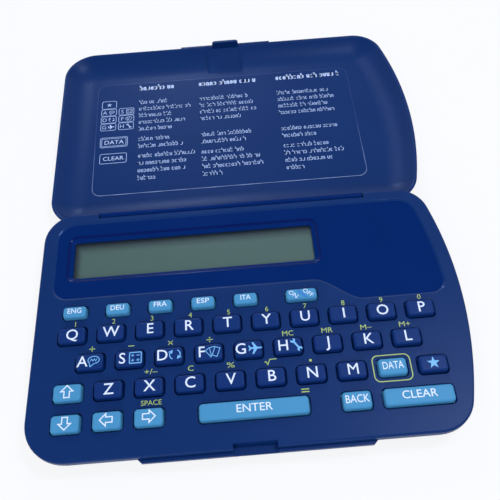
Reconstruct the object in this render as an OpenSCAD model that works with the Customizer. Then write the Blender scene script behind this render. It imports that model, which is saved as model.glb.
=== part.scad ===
// Handheld translator with a full keyboard and a flat folding lid.
// Origin: centre of the lower case's footprint, on the surface it lies on.
// X runs to the right, Y to the hinge at the back, Z up. The lid is drawn open, flat behind the case.

/* [Case] */
// Width of the case, across its widest point
base_w = 118; // [117:0.5:126]
// Depth of the case, front to back
base_d = 74.6; // [74.2:0.2:82]
// Height of the lower case, from the table to its face
base_h = 7.5; // [7.3:0.1:9]
// Radius of the bowed right side
side_r = 117; // [105:1:180]
// Where the bow stands out most, from the middle of the depth
side_y = 2; // [-4:0.5:6]
// Radius of the two back corners
back_corner_r = 9.5; // [8:0.5:12]
// Radius of the left front corner
left_corner_r = 11; // [8:0.5:13]
// Radius of the right front corner
right_corner_r = 10; // [8:0.5:12]
// Thickness of the walls
wall = 1.3; // [1.1:0.1:1.6]
// Thickness of the bottom
floor_t = 1.2; // [1.1:0.1:1.5]
// Thickness of the face
face_t = 1.3; // [1.2:0.1:1.6]
// How far in the dished underside reaches before it is flat
dish_w = 9; // [7:0.5:9.5]
// Size of the rounded edge around the face
face_edge = 0.6; // [0.3:0.1:0.8]
// How far the thumb lip stands out at the front
thumb_out = 1; // [0.6:0.1:1.6]
// Length of the thumb lip
thumb_w = 59.6; // [40:0.5:70]
// Height of the thumb lip
thumb_h = 1.1; // [0.8:0.1:1.6]

/* [Hinge] */
// Radius of the rounded back edge and of the lid's barrel
barrel_r = 1; // [0.9:0.05:1.2]
// From the case's left side to the slot for the barrel
slot_left = 15.8; // [15.5:0.1:26]
// From the case's right side to the slot for the barrel
slot_right = 21.7; // [16:0.1:30]
// Radius of the hinge pins
pin_r = 0.5; // [0.4:0.05:0.6]
// Length of a hinge pin
pin_len = 7.6; // [5:0.1:9]
// Gap around the barrel, and between the closed lid and the face
hinge_gap = 0.3; // [0.25:0.05:0.4]
// Gap between pin and barrel, all round
pin_gap = 0.05; // [0.02:0.01:0.08]

/* [Lid] */
// Thickness of the lid's panel
lid_floor = 1.3; // [1:0.1:1.6]
// Width of the latch tongue
latch_w = 9.4; // [6:0.2:14]
// How far the latch tongue stands out of the lid's rim
latch_h = 2.4; // [1.8:0.1:2.6]
// Thickness of the latch tongue
latch_t = 0.9; // [0.7:0.1:1.2]
// Middle of the latch
latch_x = -1.1; // [-6:0.1:6]
// Gap beside the latch tongue
latch_gap = 0.85; // [0.4:0.05:1.2]
// Gap in front of and behind the latch tongue
latch_play = 0.3; // [0.25:0.05:0.5]
// Width of the lid's own thumb lip
lid_lip_w = 32.3; // [20:0.5:50]
// How far the lid's thumb lip stands out
lid_lip_out = 0.6; // [0.4:0.1:1]
// From the lid's left side to the key guide film
guide_left = 11.4; // [11:0.1:20]
// From the lid's right side to the key guide film
guide_right = 17.3; // [11:0.1:24]
// From the lid's hinge edge to the key guide film
guide_back = 12.7; // [12:0.1:20]
// From the lid's front edge to the key guide film
guide_front = 12.3; // [11:0.1:20]
// Thickness of the key guide film
guide_t = 0.15; // [0.1:0.05:0.3]

/* [Keys] */
// From the case's left side to the middle of the first column of keys
key_left = 10.7; // [10.5:0.1:13]
// From the case's right side to the middle of the last column of keys
key_right = 12.8; // [12:0.1:15]
// From the case's front to the middle of the last row of keys
key_front = 9.5; // [9:0.1:10]
// Distance between rows of keys
pitch_y = 8.05; // [7.8:0.05:8.2]
// Gap between two letter keys, side by side
key_gap = 2.9; // [2.5:0.1:3.6]
// Depth of a letter key
key_d = 4.8; // [4.2:0.1:5.2]
// Width of a language key
lang_w = 6.7; // [5.6:0.1:8]
// Depth of a language key
lang_d = 3.6; // [3:0.1:4]
// From the case's left side to the middle of the first language key
lang_left = 11.05; // [10.8:0.05:13]
// From the middle of one language key to the next
lang_pitch = 11.78; // [10:0.02:12]
// From the top letter row to the language row
lang_up = 6.95; // [6.6:0.05:7.2]
// Width of the ON/OFF key
power_w = 8.8; // [7:0.1:10]
// From the middle of the last language key to the middle of the ON/OFF key
power_step = 15.48; // [12:0.02:17]
// Gap to the left of the ENTER key
enter_gap_left = 8.7; // [7.5:0.1:12]
// Gap to the right of the ENTER key
enter_gap_right = 8.1; // [7.5:0.1:12]
// How far the keys stand above the face
key_rise = 1.3; // [0.9:0.1:1.6]
// How far a key travels
travel = 0.8; // [0.5:0.1:1]
// Gap between a key and its well
well_gap = 0.25; // [0.2:0.05:0.35]
// Width of the lip that keeps a key in
key_lip = 0.5; // [0.4:0.05:0.6]
// Thickness of that lip
key_lip_t = 0.55; // [0.4:0.05:0.7]
// Slope of a key's sides, over its height
key_draft = 0.12; // [0.05:0.01:0.2]
// Size of the bevel around a key's top
key_bevel = 0.35; // [0.2:0.05:0.5]

/* [Display] */
// From the case's left side to the visible display
view_left = 9.7; // [9.4:0.1:14]
// From the case's right side to the visible display
view_right = 39; // [38:0.1:46]
// From the case's back to the visible display
view_back = 10.3; // [9.8:0.1:12]
// From the middle of the language row to the visible display
view_up = 11.9; // [11.5:0.1:13]
// Width of the sloping bezel around the display
bezel = 2; // [1:0.1:2.4]
// Depth of the smooth panel around the display
panel_in = 0.35; // [0.2:0.05:0.5]
// Distance from the case's edge to the panel
panel_edge = 3.9; // [3.4:0.1:5]
// From the language row to the panel's front edge on the left
panel_up = 4.7; // [4.3:0.1:5.5]
// From the top letter row to the panel's front edge on the right
panel_up_right = 4.65; // [4.4:0.05:6]
// Thickness of the clear window
window_t = 0.5; // [0.4:0.05:0.6]
// Thickness of the liquid crystal display
lcd_t = 1.1; // [0.9:0.1:1.2]

/* [Inside] */
// Thickness of the circuit board
board_t = 1; // [0.8:0.1:1.2]
// Space under the circuit board
board_gap = 1; // [0.9:0.1:1.2]
// Thickness of the keypad mat
mat_t = 0.4; // [0.3:0.05:0.6]
// Radius of a keypad dome
dome_r = 1.6; // [1.2:0.1:1.7]
// Radius of the coin cell
cell_r = 10; // [8:0.5:10]
// Thickness of the coin cell
cell_t = 3.2; // [2:0.1:3.2]
// From the case's right side to the middle of the coin cell
cell_right = 21; // [20.4:0.1:21.4]
// From the case's back to the middle of the coin cell
cell_back = 22.3; // [21.7:0.1:22.5]
// How far the battery door turns
door_turn = 40; // [36:1:60]
// Radius of a screw's thread
screw_r = 0.95; // [0.8:0.05:1]
// Radius of a screw's head
screw_head_r = 1.7; // [1.5:0.05:1.8]
// Height of a screw's head
screw_head_h = 0.9; // [0.7:0.1:1.1]
// Thickness of the contact springs
contact_t = 0.25; // [0.2:0.05:0.3]
// Width of the contact springs
contact_w = 4; // [3:0.5:5]

/* [Hidden] */
$fn = 48;
eps = 0.01;
cut = 1;            // how far a cut runs past what it cuts
seat_gap = 0.05;    // between flat faces that only rest on each other
part_gap = 0.2;     // around pieces that are laid into a seat
thread_gap = 0.02;  // between a screw and its hole

back_y = base_d / 2;
front_y = -base_d / 2;
axis_y = back_y - barrel_r;
axis_z = base_h - barrel_r;
part_z = base_h - 2 * barrel_r;             // where top and bottom shell meet
slot_y = axis_y - barrel_r - hinge_gap;     // back wall under the face, and floor of the hinge slot
lid_h = part_z - hinge_gap;                 // height of the open lid's rim
inner_back_y = slot_y - wall;
under_z = base_h - face_t;                  // underside of the face
left_x = -base_w / 2;
right_x = base_w / 2;
slot_x0 = left_x + slot_left;
slot_x1 = right_x - slot_right;

COLUMNS = 10;
pitch_x = (base_w - key_left - key_right) / (COLUMNS - 1);
first_x = left_x + key_left;
last_row_y = front_y + key_front;
first_y = last_row_y + 3 * pitch_y;
key_w = pitch_x - key_gap;
lang_x = left_x + lang_left;
lang_y = first_y + lang_up;
power_x = lang_x + 4 * lang_pitch + power_step;
enter_x0 = first_x + 2 * pitch_x + key_w / 2 + enter_gap_left;
enter_x1 = first_x + 7 * pitch_x - key_w / 2 - enter_gap_right;

view_w = base_w - view_left - view_right;
view_x = left_x + view_left + view_w / 2;
view_d = back_y - view_back - lang_y - view_up;
view_y = back_y - view_back - view_d / 2;
cell_x = right_x - cell_right;
cell_y = back_y - cell_back;

panel_z = base_h - panel_in;
window_z = under_z - window_t;
lcd_z = window_z - part_gap / 2 - lcd_t;
board_z = floor_t + board_gap;
board_top = board_z + board_t;
lip_top = under_z - seat_gap;
lip_z = lip_top - key_lip_t;
dome_z = lip_z - travel - seat_gap;
key_top = base_h + key_rise;

view_r = 0.6;       // corners of the visible display
lcd_border = 1.5;   // glass around the visible display
lcd_ledge = 2;      // where the lower glass carries the display's contacts
lcd_w = view_w + 2 * lcd_border;
lcd_d = view_d + 2 * lcd_border;
frame_wall = 1.2;
frame_ledge = 1;

boss_wall = 0.75;
boss_r = screw_r + boss_wall;
boss_z = 4.2;       // where the bosses of both shells meet
screw_seat = 1.9;
foot_r = screw_head_r + part_gap + boss_wall;   // wide foot of a boss, around the screw's head
foot_z = screw_seat + boss_wall;
back_screw_y = inner_back_y - boss_r - part_gap / 2;
front_screw_y = front_y + 4.55;
screw_x0 = left_x + 12;
screw_x1 = right_x - 13;
enter_screw = 4.2;  // from the ENTER key's ends to the screws beside it
SCREWS = [
    [screw_x0, back_screw_y], [screw_x1, back_screw_y],
    [screw_x0, front_screw_y], [screw_x1, front_screw_y],
    [enter_x0 - enter_screw, last_row_y], [enter_x1 + enter_screw, last_row_y]
];

NAVY = "#1b2f6b";
KEY_NAVY = "#13245c";
KEY_BLUE = "#4a97d6";
PANEL_BLACK = "#20242a";

// Keys: [name, x, y, width, depth, colour]
function row(names, shift, line) = [
    for (i = [0:len(names) - 1])
        [names[i], first_x + (i + shift) * pitch_x, first_y - line * pitch_y, key_w, key_d, KEY_NAVY]
];
function blue(name, column, line, span = 1) = [
    name, first_x + (column + (span - 1) / 2) * pitch_x, first_y - line * pitch_y,
    key_w + (span - 1) * pitch_x, key_d, KEY_BLUE
];
LANGUAGES = ["eng", "deu", "fra", "esp", "ita"];
KEYS = concat(
    [for (i = [0:4]) [LANGUAGES[i], lang_x + i * lang_pitch, lang_y, lang_w, lang_d, KEY_BLUE]],
    [["on_off", power_x, lang_y, power_w, lang_d, KEY_BLUE]],
    row(["q", "w", "e", "r", "t", "y", "u", "i", "o", "p"], 0, 0),
    row(["a", "s", "d", "f", "g", "h", "j", "k", "l"], 0.5, 1),
    [blue("up", 0, 2)],
    row(["z", "x", "c", "v", "b", "n", "m"], 1, 2),
    [blue("data", 8, 2)],
    row(["star"], 9, 2),
    [for (i = [0:2]) blue(["down", "left", "right"][i], i, 3)],
    [["enter", (enter_x0 + enter_x1) / 2, last_row_y, enter_x1 - enter_x0, key_d, KEY_BLUE]],
    [blue("back", 7, 3), blue("clear", 8, 3, 2)]
);

// ---- outline of the case ----

ARC_STEPS = 8;
SIDE_STEPS = 12;
MIN_CORNER = 0.3;

function arc(c, r, a0, a1, steps) = [
    for (i = [0:steps]) c + r * [cos(a0 + (a1 - a0) * i / steps), sin(a0 + (a1 - a0) * i / steps)]
];

// Centre of a corner on the bowed side, whose edge runs along y = edge
function bow_corner(inset, r, edge) =
    let (c = [base_w / 2 - side_r, side_y], y = edge - sign(edge) * r)
    [c.x + sqrt(pow(side_r - inset - r, 2) - pow(y - c.y, 2)), y];

// The case's outline, moved inwards by inset, counterclockwise
function outline(inset) =
    let (
        c = [base_w / 2 - side_r, side_y],
        back = max(back_corner_r - inset, MIN_CORNER),
        left = max(left_corner_r - inset, MIN_CORNER),
        right = max(right_corner_r - inset, MIN_CORNER),
        front_c = bow_corner(inset, right, front_y + inset),
        back_c = bow_corner(inset, back, back_y - inset),
        front_a = atan2(front_c.y - c.y, front_c.x - c.x),
        back_a = atan2(back_c.y - c.y, back_c.x - c.x),
        side = arc(c, side_r - inset, front_a, back_a, SIDE_STEPS),
        x = left_x + inset
    )
    concat(
        arc(front_c, right, -90, front_a, ARC_STEPS),
        [for (i = [1:SIDE_STEPS - 1]) side[i]],
        arc(back_c, back, back_a, 90, ARC_STEPS),
        arc([x + back, back_y - inset - back], back, 90, 180, ARC_STEPS),
        arc([x + left, front_y + inset + left], left, 180, 270, ARC_STEPS)
    );

// Solid through rings of the outline, each ring [inset, z], from the lowest to the highest
module loft(rings) {
    n = len(outline(0));
    last = (len(rings) - 1) * n;
    polyhedron(
        points = [for (r = rings) for (p = outline(r[0])) [p.x, p.y, r[1]]],
        faces = concat(
            [[for (i = [0:n - 1]) i]],
            [for (k = [0:len(rings) - 2]) for (i = [0:n - 1])
                [k * n + i, (k + 1) * n + i, (k + 1) * n + (i + 1) % n]],
            [for (k = [0:len(rings) - 2]) for (i = [0:n - 1])
                [k * n + i, (k + 1) * n + (i + 1) % n, k * n + (i + 1) % n]],
            [[for (i = [n - 1:-1:0]) last + i]]
        )
    );
}

// Rings of a dished shell of height h: a quarter ellipse from the flat bottom up to the rim
DISH_STEPS = 7;
function dish(h, inset = 0, bottom = 0) = [
    for (i = [0:DISH_STEPS])
        let (a = 90 - 90 * i / DISH_STEPS)
        [inset + dish_w * (1 - cos(a)), bottom + (h - bottom) * (1 - sin(a))]
];

// ---- small shapes ----

module rounded(w, d, r) {
    square([w - 2 * r, d], center = true);
    square([w, d - 2 * r], center = true);
    for (x = [-1, 1], y = [-1, 1])
        translate([x * (w / 2 - r), y * (d / 2 - r)])
            circle(r);
}

// Block with rounded corners whose sides lean in by draft over its height
module tapered(w, d, h, r, draft) {
    for (x = [-1, 1], y = [-1, 1])
        translate([x * (w / 2 - r), y * (d / 2 - r), 0])
            cylinder(h = h, r1 = r, r2 = r - draft);
    wedge(w - 2 * r, d, h, draft);
    rotate([0, 0, 90])
        wedge(d - 2 * r, w, h, draft);
}

// Bar of length l along X whose two long sides lean in by draft
module wedge(l, d, h, draft) {
    translate([-l / 2, 0, 0])
        rotate([90, 0, 90])
            linear_extrude(l)
                polygon([[-d / 2, 0], [d / 2, 0], [d / 2 - draft, h], [-d / 2 + draft, h]]);
}

// Cylinder along X from x0 to x1 on the hinge axis
module on_axis(x0, x1, r) {
    translate([x0, axis_y, axis_z])
        rotate([0, 90, 0])
            cylinder(h = x1 - x0, r = r);
}

// Everything in front of y, between two heights
module before(y, z0, z1) {
    translate([-base_w, y - 2 * base_d, z0])
        cube([2 * base_w, 2 * base_d, z1 - z0]);
}

// Ring sectors of a given width in degrees, the first one at angle a
module sectors(r0, r1, a, width) {
    for (i = [0:2])
        intersection() {
            difference() {
                circle(r1);
                circle(r0);
            }
            rotate(a + 120 * i)
                polygon([[0, 0], 2 * r1 * [cos(width / 2), -sin(width / 2)],
                         2 * r1 * [cos(width / 2), sin(width / 2)]]);
        }
}

// ---- shells ----

// Smooth panel around the display: its front edge steps down from left to right
PANEL_STEPS = 10;
panel_corner_r = 4.5;
panel_step_w = 13.5;    // width of the S-shaped step
panel_step_right = 27;  // from the case's right side to the step
module panel_shape() {
    panel_y1 = lang_y + panel_up;
    panel_y2 = first_y + panel_up_right;
    step_x = right_x - panel_step_right - panel_step_w;
    function step_y(t) = panel_y1 + (panel_y2 - panel_y1) * t * t * (3 - 2 * t);
    difference() {
        intersection() {
            polygon(outline(panel_edge));
            polygon(concat(
                [[-base_w, back_y], [-base_w, panel_y1]],
                [for (i = [0:PANEL_STEPS])
                    [step_x + panel_step_w * i / PANEL_STEPS, step_y(i / PANEL_STEPS)]],
                [[base_w, panel_y2], [base_w, back_y]]
            ));
        }
        panel_corner(left_x + panel_edge, panel_y1, 1);
        panel_corner(right_x - panel_edge, panel_y2, -1);
    }
}

module panel_corner(x, y, side) {
    c = [x + side * panel_corner_r, y + panel_corner_r];
    difference() {
        translate([side > 0 ? x - 1 : x - panel_corner_r, y - 1])
            square(panel_corner_r + 1);
        translate(c)
            circle(panel_corner_r);
    }
}

module top_case() {
    color(NAVY)
        difference() {
            union() {
                difference() {
                    intersection() {
                        loft([[0, part_z], [0, base_h - face_edge],
                              [0.3 * face_edge, base_h - 0.3 * face_edge], [face_edge, base_h]]);
                        union() {
                            before(axis_y, 0, 2 * base_h);
                            on_axis(-base_w, base_w, barrel_r);
                        }
                    }
                    intersection() {
                        loft([[wall, part_z - cut], [wall, under_z]]);
                        before(inner_back_y, 0, 2 * base_h);
                    }
                }
                for (s = SCREWS)
                    translate([s.x, s.y, boss_z])
                        cylinder(h = base_h - face_t / 2 - boss_z, r = boss_r);
                latch_block(part_z, under_z + face_t / 2);
            }
            for (k = KEYS)
                translate([k[1], k[2], part_z])
                    linear_extrude(2 * base_h)
                        rounded(k[3] + 2 * well_gap, k[4] + 2 * well_gap, key_r + well_gap);
            translate([0, 0, panel_z])
                linear_extrude(base_h)
                    panel_shape();
            translate([view_x, view_y, panel_z + eps])
                rotate([180, 0, 0])
                    tapered(view_w + 2 * bezel, view_d + 2 * bezel, panel_z - under_z + 2 * eps,
                            bezel + view_r, bezel);
            translate([slot_x0, slot_y, 0])
                cube([slot_x1 - slot_x0, base_d, 2 * base_h]);
            on_axis(slot_x0 - pin_len / 2, slot_x1 + pin_len / 2, pin_r);
            latch_notch(part_z - cut);
            for (s = SCREWS)
                translate([s.x, s.y, boss_z - cut])
                    cylinder(h = screw_end - boss_z + cut + part_gap, r = screw_r + thread_gap);
        }
}

// Room for the latch tongue at the front edge, open to the front
notch_w = latch_w + 2 * latch_gap;
notch_d = latch_t + 2 * latch_play;
module latch_notch(z) {
    translate([latch_x - notch_w / 2, front_y - base_d, z])
        cube([notch_w, base_d + notch_d, 2 * base_h]);
}

// Walls around that room
module latch_block(z0, z1) {
    translate([latch_x - notch_w / 2 - wall, front_y + wall / 2, z0])
        cube([notch_w + 2 * wall, notch_d + wall / 2, z1 - z0]);
}

// Battery bay, seen from its middle
door_r = cell_r + 2.2;
hole_r = door_r - 1;
door_rim_t = 0.7;
lug_w = 24;         // degrees that a lug takes up
lug_play = 4;       // degrees more for the gap that lets it through
bay_r = door_r + part_gap;
bay_wall = 1;
bay_h = boss_z;
bay_rib_w = 16;     // degrees that a rib takes up
bay_rib_z = floor_t + 0.7;
notch_floor = 0.5;  // depth of the latch's notch in the bottom shell
post_r = 1.2;

module bottom_case() {
    color(NAVY)
        difference() {
            union() {
                difference() {
                    intersection() {
                        loft(dish(part_z));
                        before(slot_y, -cut, 2 * base_h);
                    }
                    intersection() {
                        loft(concat(dish(part_z, wall, floor_t), [[wall, part_z + cut]]));
                        before(inner_back_y, 0, 2 * base_h);
                    }
                    translate([cell_x, cell_y, floor_t])
                        cylinder(h = base_h, r = bay_r);
                }
                intersection() {
                    union() {
                        for (s = SCREWS)
                            translate([s.x, s.y, floor_t / 2]) {
                                cylinder(h = boss_z - floor_t / 2, r = boss_r);
                                cylinder(h = foot_z - floor_t / 2, r = foot_r);
                            }
                        for (p = POSTS)
                            translate([p.x, p.y, floor_t / 2])
                                cylinder(h = board_z - floor_t / 2, r = post_r);
                        bay_wall_ring();
                        latch_block(part_z - notch_floor - 1, part_z);
                    }
                    loft(dish(part_z, wall / 2, floor_t / 2));
                }
                thumb_lip();
            }
            for (s = SCREWS)
                translate([s.x, s.y, -cut]) {
                    cylinder(h = boss_z + 2 * cut, r = screw_r + part_gap);
                    cylinder(h = screw_seat + cut, r = screw_head_r + part_gap);
                }
            translate([cell_x, cell_y, -cut]) {
                cylinder(h = floor_t + 2 * cut, r = hole_r + part_gap);
                cylinder(h = door_rim_t + seat_gap + cut, r = door_r + part_gap);
                linear_extrude(floor_t + 2 * cut)
                    sectors(hole_r, door_r + part_gap, 90 + door_turn, lug_w + lug_play);
            }
            latch_notch(part_z - notch_floor);
        }
}

// Pins that carry the circuit board
post_side = 7;      // from the case's sides to the outer pins
POSTS = concat(
    [for (column = [2, 4.5, 7]) [first_x + column * pitch_x, first_y - 1.5 * pitch_y]],
    [for (column = [1, 4, 6]) [first_x + column * pitch_x, lang_y + 5]],
    [for (x = [left_x + post_side, right_x - post_side]) [x, first_y - 0.5 * pitch_y]],
    [[left_x + post_side, view_y], [0, inner_back_y - 3]]
);

// Wall around the battery bay, with ribs that centre the cell
module bay_wall_ring() {
    translate([cell_x, cell_y, 0]) {
        difference() {
            translate([0, 0, floor_t / 2])
                cylinder(h = bay_h - floor_t / 2, r = bay_r + bay_wall);
            cylinder(h = 2 * bay_h, r = bay_r);
            // way in for the side contact
            translate([-contact_w / 2 - part_gap, 0, board_z])
                cube([contact_w + 2 * part_gap, 2 * bay_r, base_h]);
        }
        translate([0, 0, bay_rib_z])
            linear_extrude(bay_h - bay_rib_z)
                sectors(cell_r + part_gap, bay_r + bay_wall / 2, 30, bay_rib_w);
    }
}

module thumb_lip() {
    root = wall / 2;
    translate([latch_x + 0.5, front_y, part_z - thumb_h])
        linear_extrude(thumb_h)
            polygon([
                [-thumb_w / 2, root], [-thumb_w / 2, 0], [-thumb_w / 2 + thumb_out, -thumb_out],
                [thumb_w / 2 - thumb_out, -thumb_out], [thumb_w / 2, 0], [thumb_w / 2, root]
            ]);
}

// The lid is the case's outline turned over about the hinge
module turned_over() {
    translate([0, 2 * axis_y, 0])
        mirror([0, 1, 0])
            children();
}

rib_t = 0.6;
rib_in = 0.5;       // how far a gusset stands off the dish
rib_side = 1.5;     // from the latch tongue to a gusset
rib_drop = 0.4;     // from the rim down to a gusset
module lid() {
    color(NAVY)
        difference() {
            union() {
                turned_over() {
                    difference() {
                        loft(dish(lid_h));
                        loft(concat(dish(lid_h, wall, lid_floor), [[wall, lid_h + cut]]));
                    }
                    // gussets beside the latch, laid on the dish
                    intersection() {
                        difference() {
                            loft(dish(lid_h - rib_drop, wall / 2, lid_floor / 2));
                            loft(concat(dish(lid_h, wall + rib_in, lid_floor + 0.2 * rib_in),
                                        [[wall + rib_in, lid_h + cut]]));
                        }
                        for (side = [-1, 1])
                            translate([latch_x + side * (latch_w / 2 + rib_side) - rib_t / 2, front_y, 0])
                                cube([rib_t, dish_w, lid_h]);
                    }
                    translate([latch_x - latch_w / 2, front_y + latch_play, lid_h - latch_root])
                        cube([latch_w, latch_t, latch_h + latch_root]);
                    lid_lip();
                }
                barrel();
            }
            for (side = [0, 1])
                mirror_pins(side)
                    on_axis(slot_x0, slot_x0 + pin_len / 2 + 2 * hinge_gap, pin_r + pin_gap);
        }
}

lid_lip_h = 1;
latch_root = 1;     // how far the latch tongue reaches down into the wall
module lid_lip() {
    translate([latch_x - lid_lip_w / 2, front_y - lid_lip_out, lid_h - lid_lip_h])
        cube([lid_lip_w, lid_lip_out + wall / 2, lid_lip_h]);
}

// Barrel and the web that joins it to the lid's rim
module barrel() {
    x0 = slot_x0 + hinge_gap;
    x1 = slot_x1 - hinge_gap;
    web_z = lid_h - 0.8;
    on_axis(x0, x1, barrel_r);
    translate([x0, axis_y - barrel_r, web_z])
        cube([x1 - x0, 2 * barrel_r, axis_z - web_z]);
}

// The same at the left end, or mirrored to the right end of the slot
module mirror_pins(side) {
    if (side == 0)
        children();
    else
        translate([slot_x0 + slot_x1, 0, 0])
            mirror([1, 0, 0])
                children();
}

guide_w = base_w - guide_left - guide_right;
guide_d = base_d - guide_back - guide_front;
guide_r = 3;
module guide_label() {
    color("#27407f")
        turned_over()
            translate([left_x + guide_left + guide_w / 2, front_y + guide_front + guide_d / 2, lid_floor])
                linear_extrude(guide_t)
                    rounded(guide_w, guide_d, guide_r);
}

module hinge_pins() {
    press_gap = 0.01;
    color("silver")
        for (side = [0, 1])
            mirror_pins(side)
                on_axis(slot_x0 - pin_len / 2 + part_gap / 2, slot_x0 + pin_len / 2, pin_r - press_gap);
}

// ---- display ----

module display_window() {
    color("#b8c4c0", 0.4)
        translate([view_x, view_y, window_z])
            linear_extrude(window_t)
                rounded(lcd_w, lcd_d, 1);
}

module lcd_panel() {
    color("#6c7d74")
        translate([view_x, view_y, lcd_z]) {
            translate([-lcd_w / 2, -lcd_d / 2 - lcd_ledge, 0])
                cube([lcd_w, lcd_d + lcd_ledge, lcd_t / 2]);
            translate([-lcd_w / 2, -lcd_d / 2, 0])
                cube([lcd_w, lcd_d, lcd_t]);
        }
}

frame_inner_w = lcd_w + 2 * part_gap;
frame_inner_d = lcd_d + lcd_ledge + 2 * part_gap;
frame_y = view_y - lcd_ledge / 2;
module lcd_frame() {
    color(PANEL_BLACK)
        translate([view_x, frame_y, 0])
            difference() {
                block(frame_inner_w + 2 * frame_wall, frame_inner_d + 2 * frame_wall,
                      board_top, window_z - seat_gap);
                block(frame_inner_w, frame_inner_d, lcd_z, base_h);
                block(frame_inner_w - 2 * frame_ledge, frame_inner_d - 2 * part_gap, 0, base_h);
            }
}

module block(w, d, z0, z1) {
    translate([-w / 2, -d / 2, z0])
        cube([w, d, z1 - z0]);
}

module elastomer_connector() {
    color("#d9a0a8")
        translate([view_x, view_y - lcd_d / 2 - lcd_ledge / 2 + 0.1, 0])
            block(frame_inner_w - 2 * frame_ledge - 2 * part_gap, lcd_ledge - part_gap, board_top, lcd_z);
}

// ---- electronics ----

board_edge = 4.6;
module circuit_board() {
    color("#2f6b3a")
        translate([0, 0, board_z])
            linear_extrude(board_t)
                difference() {
                    intersection() {
                        polygon(outline(board_edge));
                        translate([-base_w, inner_back_y - 2 * base_d - 0.5])
                            square([2 * base_w, 2 * base_d]);
                    }
                    for (s = SCREWS)
                        translate(s)
                            circle(foot_r + part_gap);
                    translate([cell_x, cell_y])
                        circle(bay_r + bay_wall + part_gap);
                }
}

// Drop of resin over a chip, hanging under the board
drop_h = 0.8;
module resin_drop(x, y, r) {
    color(PANEL_BLACK)
        translate([x, y, board_z - drop_h])
            cylinder(h = drop_h, r1 = 0.6 * r, r2 = r);
}

processor_r = 6;
memory_r = 5;
chip_step = 28;     // between the two chips
module processor_chip() {
    resin_drop(view_x - chip_step / 2 + 4, view_y, processor_r);
}

module memory_chip() {
    resin_drop(view_x + chip_step / 2 + 4, view_y, memory_r);
}

// Lies on the board, along the front of the display's frame
crystal_r = 0.75;
crystal_len = 5;
module clock_crystal() {
    crystal_y = frame_y - frame_inner_d / 2 - frame_wall - part_gap - crystal_r;
    color("silver")
        translate([view_x - view_w / 4, crystal_y, board_top + crystal_r + seat_gap])
            rotate([0, 90, 0])
                cylinder(h = crystal_len, r = crystal_r);
}

mat_edge = 0.8;     // from the outer keys to the mat's edge
dome_draft = 0.4;
module keypad_mat() {
    mat_x0 = first_x - key_w / 2 - mat_edge;
    mat_x1 = first_x + (COLUMNS - 1) * pitch_x + key_w / 2 + mat_edge;
    mat_y0 = last_row_y - key_d / 2 - mat_edge;
    mat_y1 = first_y + key_d / 2 + mat_edge;
    lang_x1 = power_x + power_w / 2 + mat_edge;
    color("#8d9196")
        difference() {
            union() {
                translate([mat_x0, mat_y0, board_top])
                    cube([mat_x1 - mat_x0, mat_y1 - mat_y0, mat_t]);
                translate([mat_x0, mat_y0, board_top])
                    cube([lang_x1 - mat_x0, lang_y + lang_d / 2 + mat_edge - mat_y0, mat_t]);
                for (k = KEYS)
                    translate([k[1], k[2], board_top])
                        cylinder(h = dome_z - board_top, r1 = dome_r, r2 = dome_r - dome_draft);
            }
            for (s = SCREWS)
                translate([s.x, s.y, 0])
                    cylinder(h = base_h, r = boss_r + part_gap);
            translate([cell_x, cell_y, 0])
                cylinder(h = base_h, r = bay_r + bay_wall + part_gap);
        }
}

// ---- battery ----

cell_z = floor_t + seat_gap;
cell_step_t = 0.4;  // the smaller cap on the cell
cell_step_r = 1.2;
module battery() {
    color("#b9bcc0")
        translate([cell_x, cell_y, cell_z]) {
            cylinder(h = cell_t - cell_step_t, r = cell_r);
            cylinder(h = cell_t, r = cell_r - cell_step_r);
        }
}

// Strip that starts on the board and runs down along the cell's side
plus_foot = 3;      // what lies on the board
module battery_plus_contact() {
    y0 = cell_r + seat_gap;
    y1 = bay_r + bay_wall + part_gap + plus_foot;
    tip_z = board_z + part_gap;
    color("#c9c4b0")
        translate([cell_x + contact_w / 2, cell_y, 0])
            rotate([90, 0, -90])
                linear_extrude(contact_w)
                    polygon([
                        [-y1, board_top], [-y0 - contact_t, board_top], [-y0 - contact_t, tip_z],
                        [-y0, tip_z], [-y0, board_top + contact_t], [-y1, board_top + contact_t]
                    ]);
}

// Leaf that starts on the board, crosses the bay's wall and dips onto the middle of the cell
minus_foot = 2;
leaf_rise = 0.35;   // the leaf's height over the cell, beside its tip
leaf_tip = 1.6;     // length of the tip that touches the cell
module battery_minus_contact() {
    x1 = bay_r + bay_wall + part_gap;
    tip_z = cell_z + cell_t + seat_gap;
    leaf_z = tip_z + leaf_rise - seat_gap;
    color("#c9c4b0")
        translate([cell_x, cell_y + contact_w / 2, 0])
            rotate([90, 0, 0])
                linear_extrude(contact_w)
                    polygon([
                        [x1 + minus_foot, board_top], [x1 + minus_foot, board_top + contact_t],
                        [x1 + contact_t, board_top + contact_t], [x1 + contact_t, leaf_z + contact_t],
                        [-1, leaf_z + contact_t], [-2.5, tip_z + contact_t],
                        [-2.4 - leaf_tip, tip_z + contact_t], [-2.4 - leaf_tip, tip_z],
                        [-2.4, tip_z], [-0.9, leaf_z], [x1, leaf_z], [x1, board_top]
                    ]);
}

// Round door with three lugs over the bottom's ledge and a slot for a coin
lug_t = 0.45;
lug_in = 0.4;       // from the cell to the lugs
coin_slot = [14, 1.8, 0.5];     // length, width, depth
module battery_door() {
    color(NAVY)
        translate([cell_x, cell_y, 0])
            difference() {
                union() {
                    cylinder(h = door_rim_t, r = door_r);
                    cylinder(h = floor_t, r = hole_r);
                    translate([0, 0, floor_t - seat_gap])
                        linear_extrude(lug_t + seat_gap)
                            sectors(cell_r + lug_in, hole_r, 90, lug_w);
                    translate([0, 0, floor_t + seat_gap])
                        linear_extrude(lug_t - seat_gap)
                            sectors(cell_r + lug_in, door_r, 90, lug_w);
                }
                translate([0, 0, -cut])
                    linear_extrude(coin_slot.z + cut)
                        rounded(coin_slot.x, coin_slot.y, 0.45 * coin_slot.y);
            }
}

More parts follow.
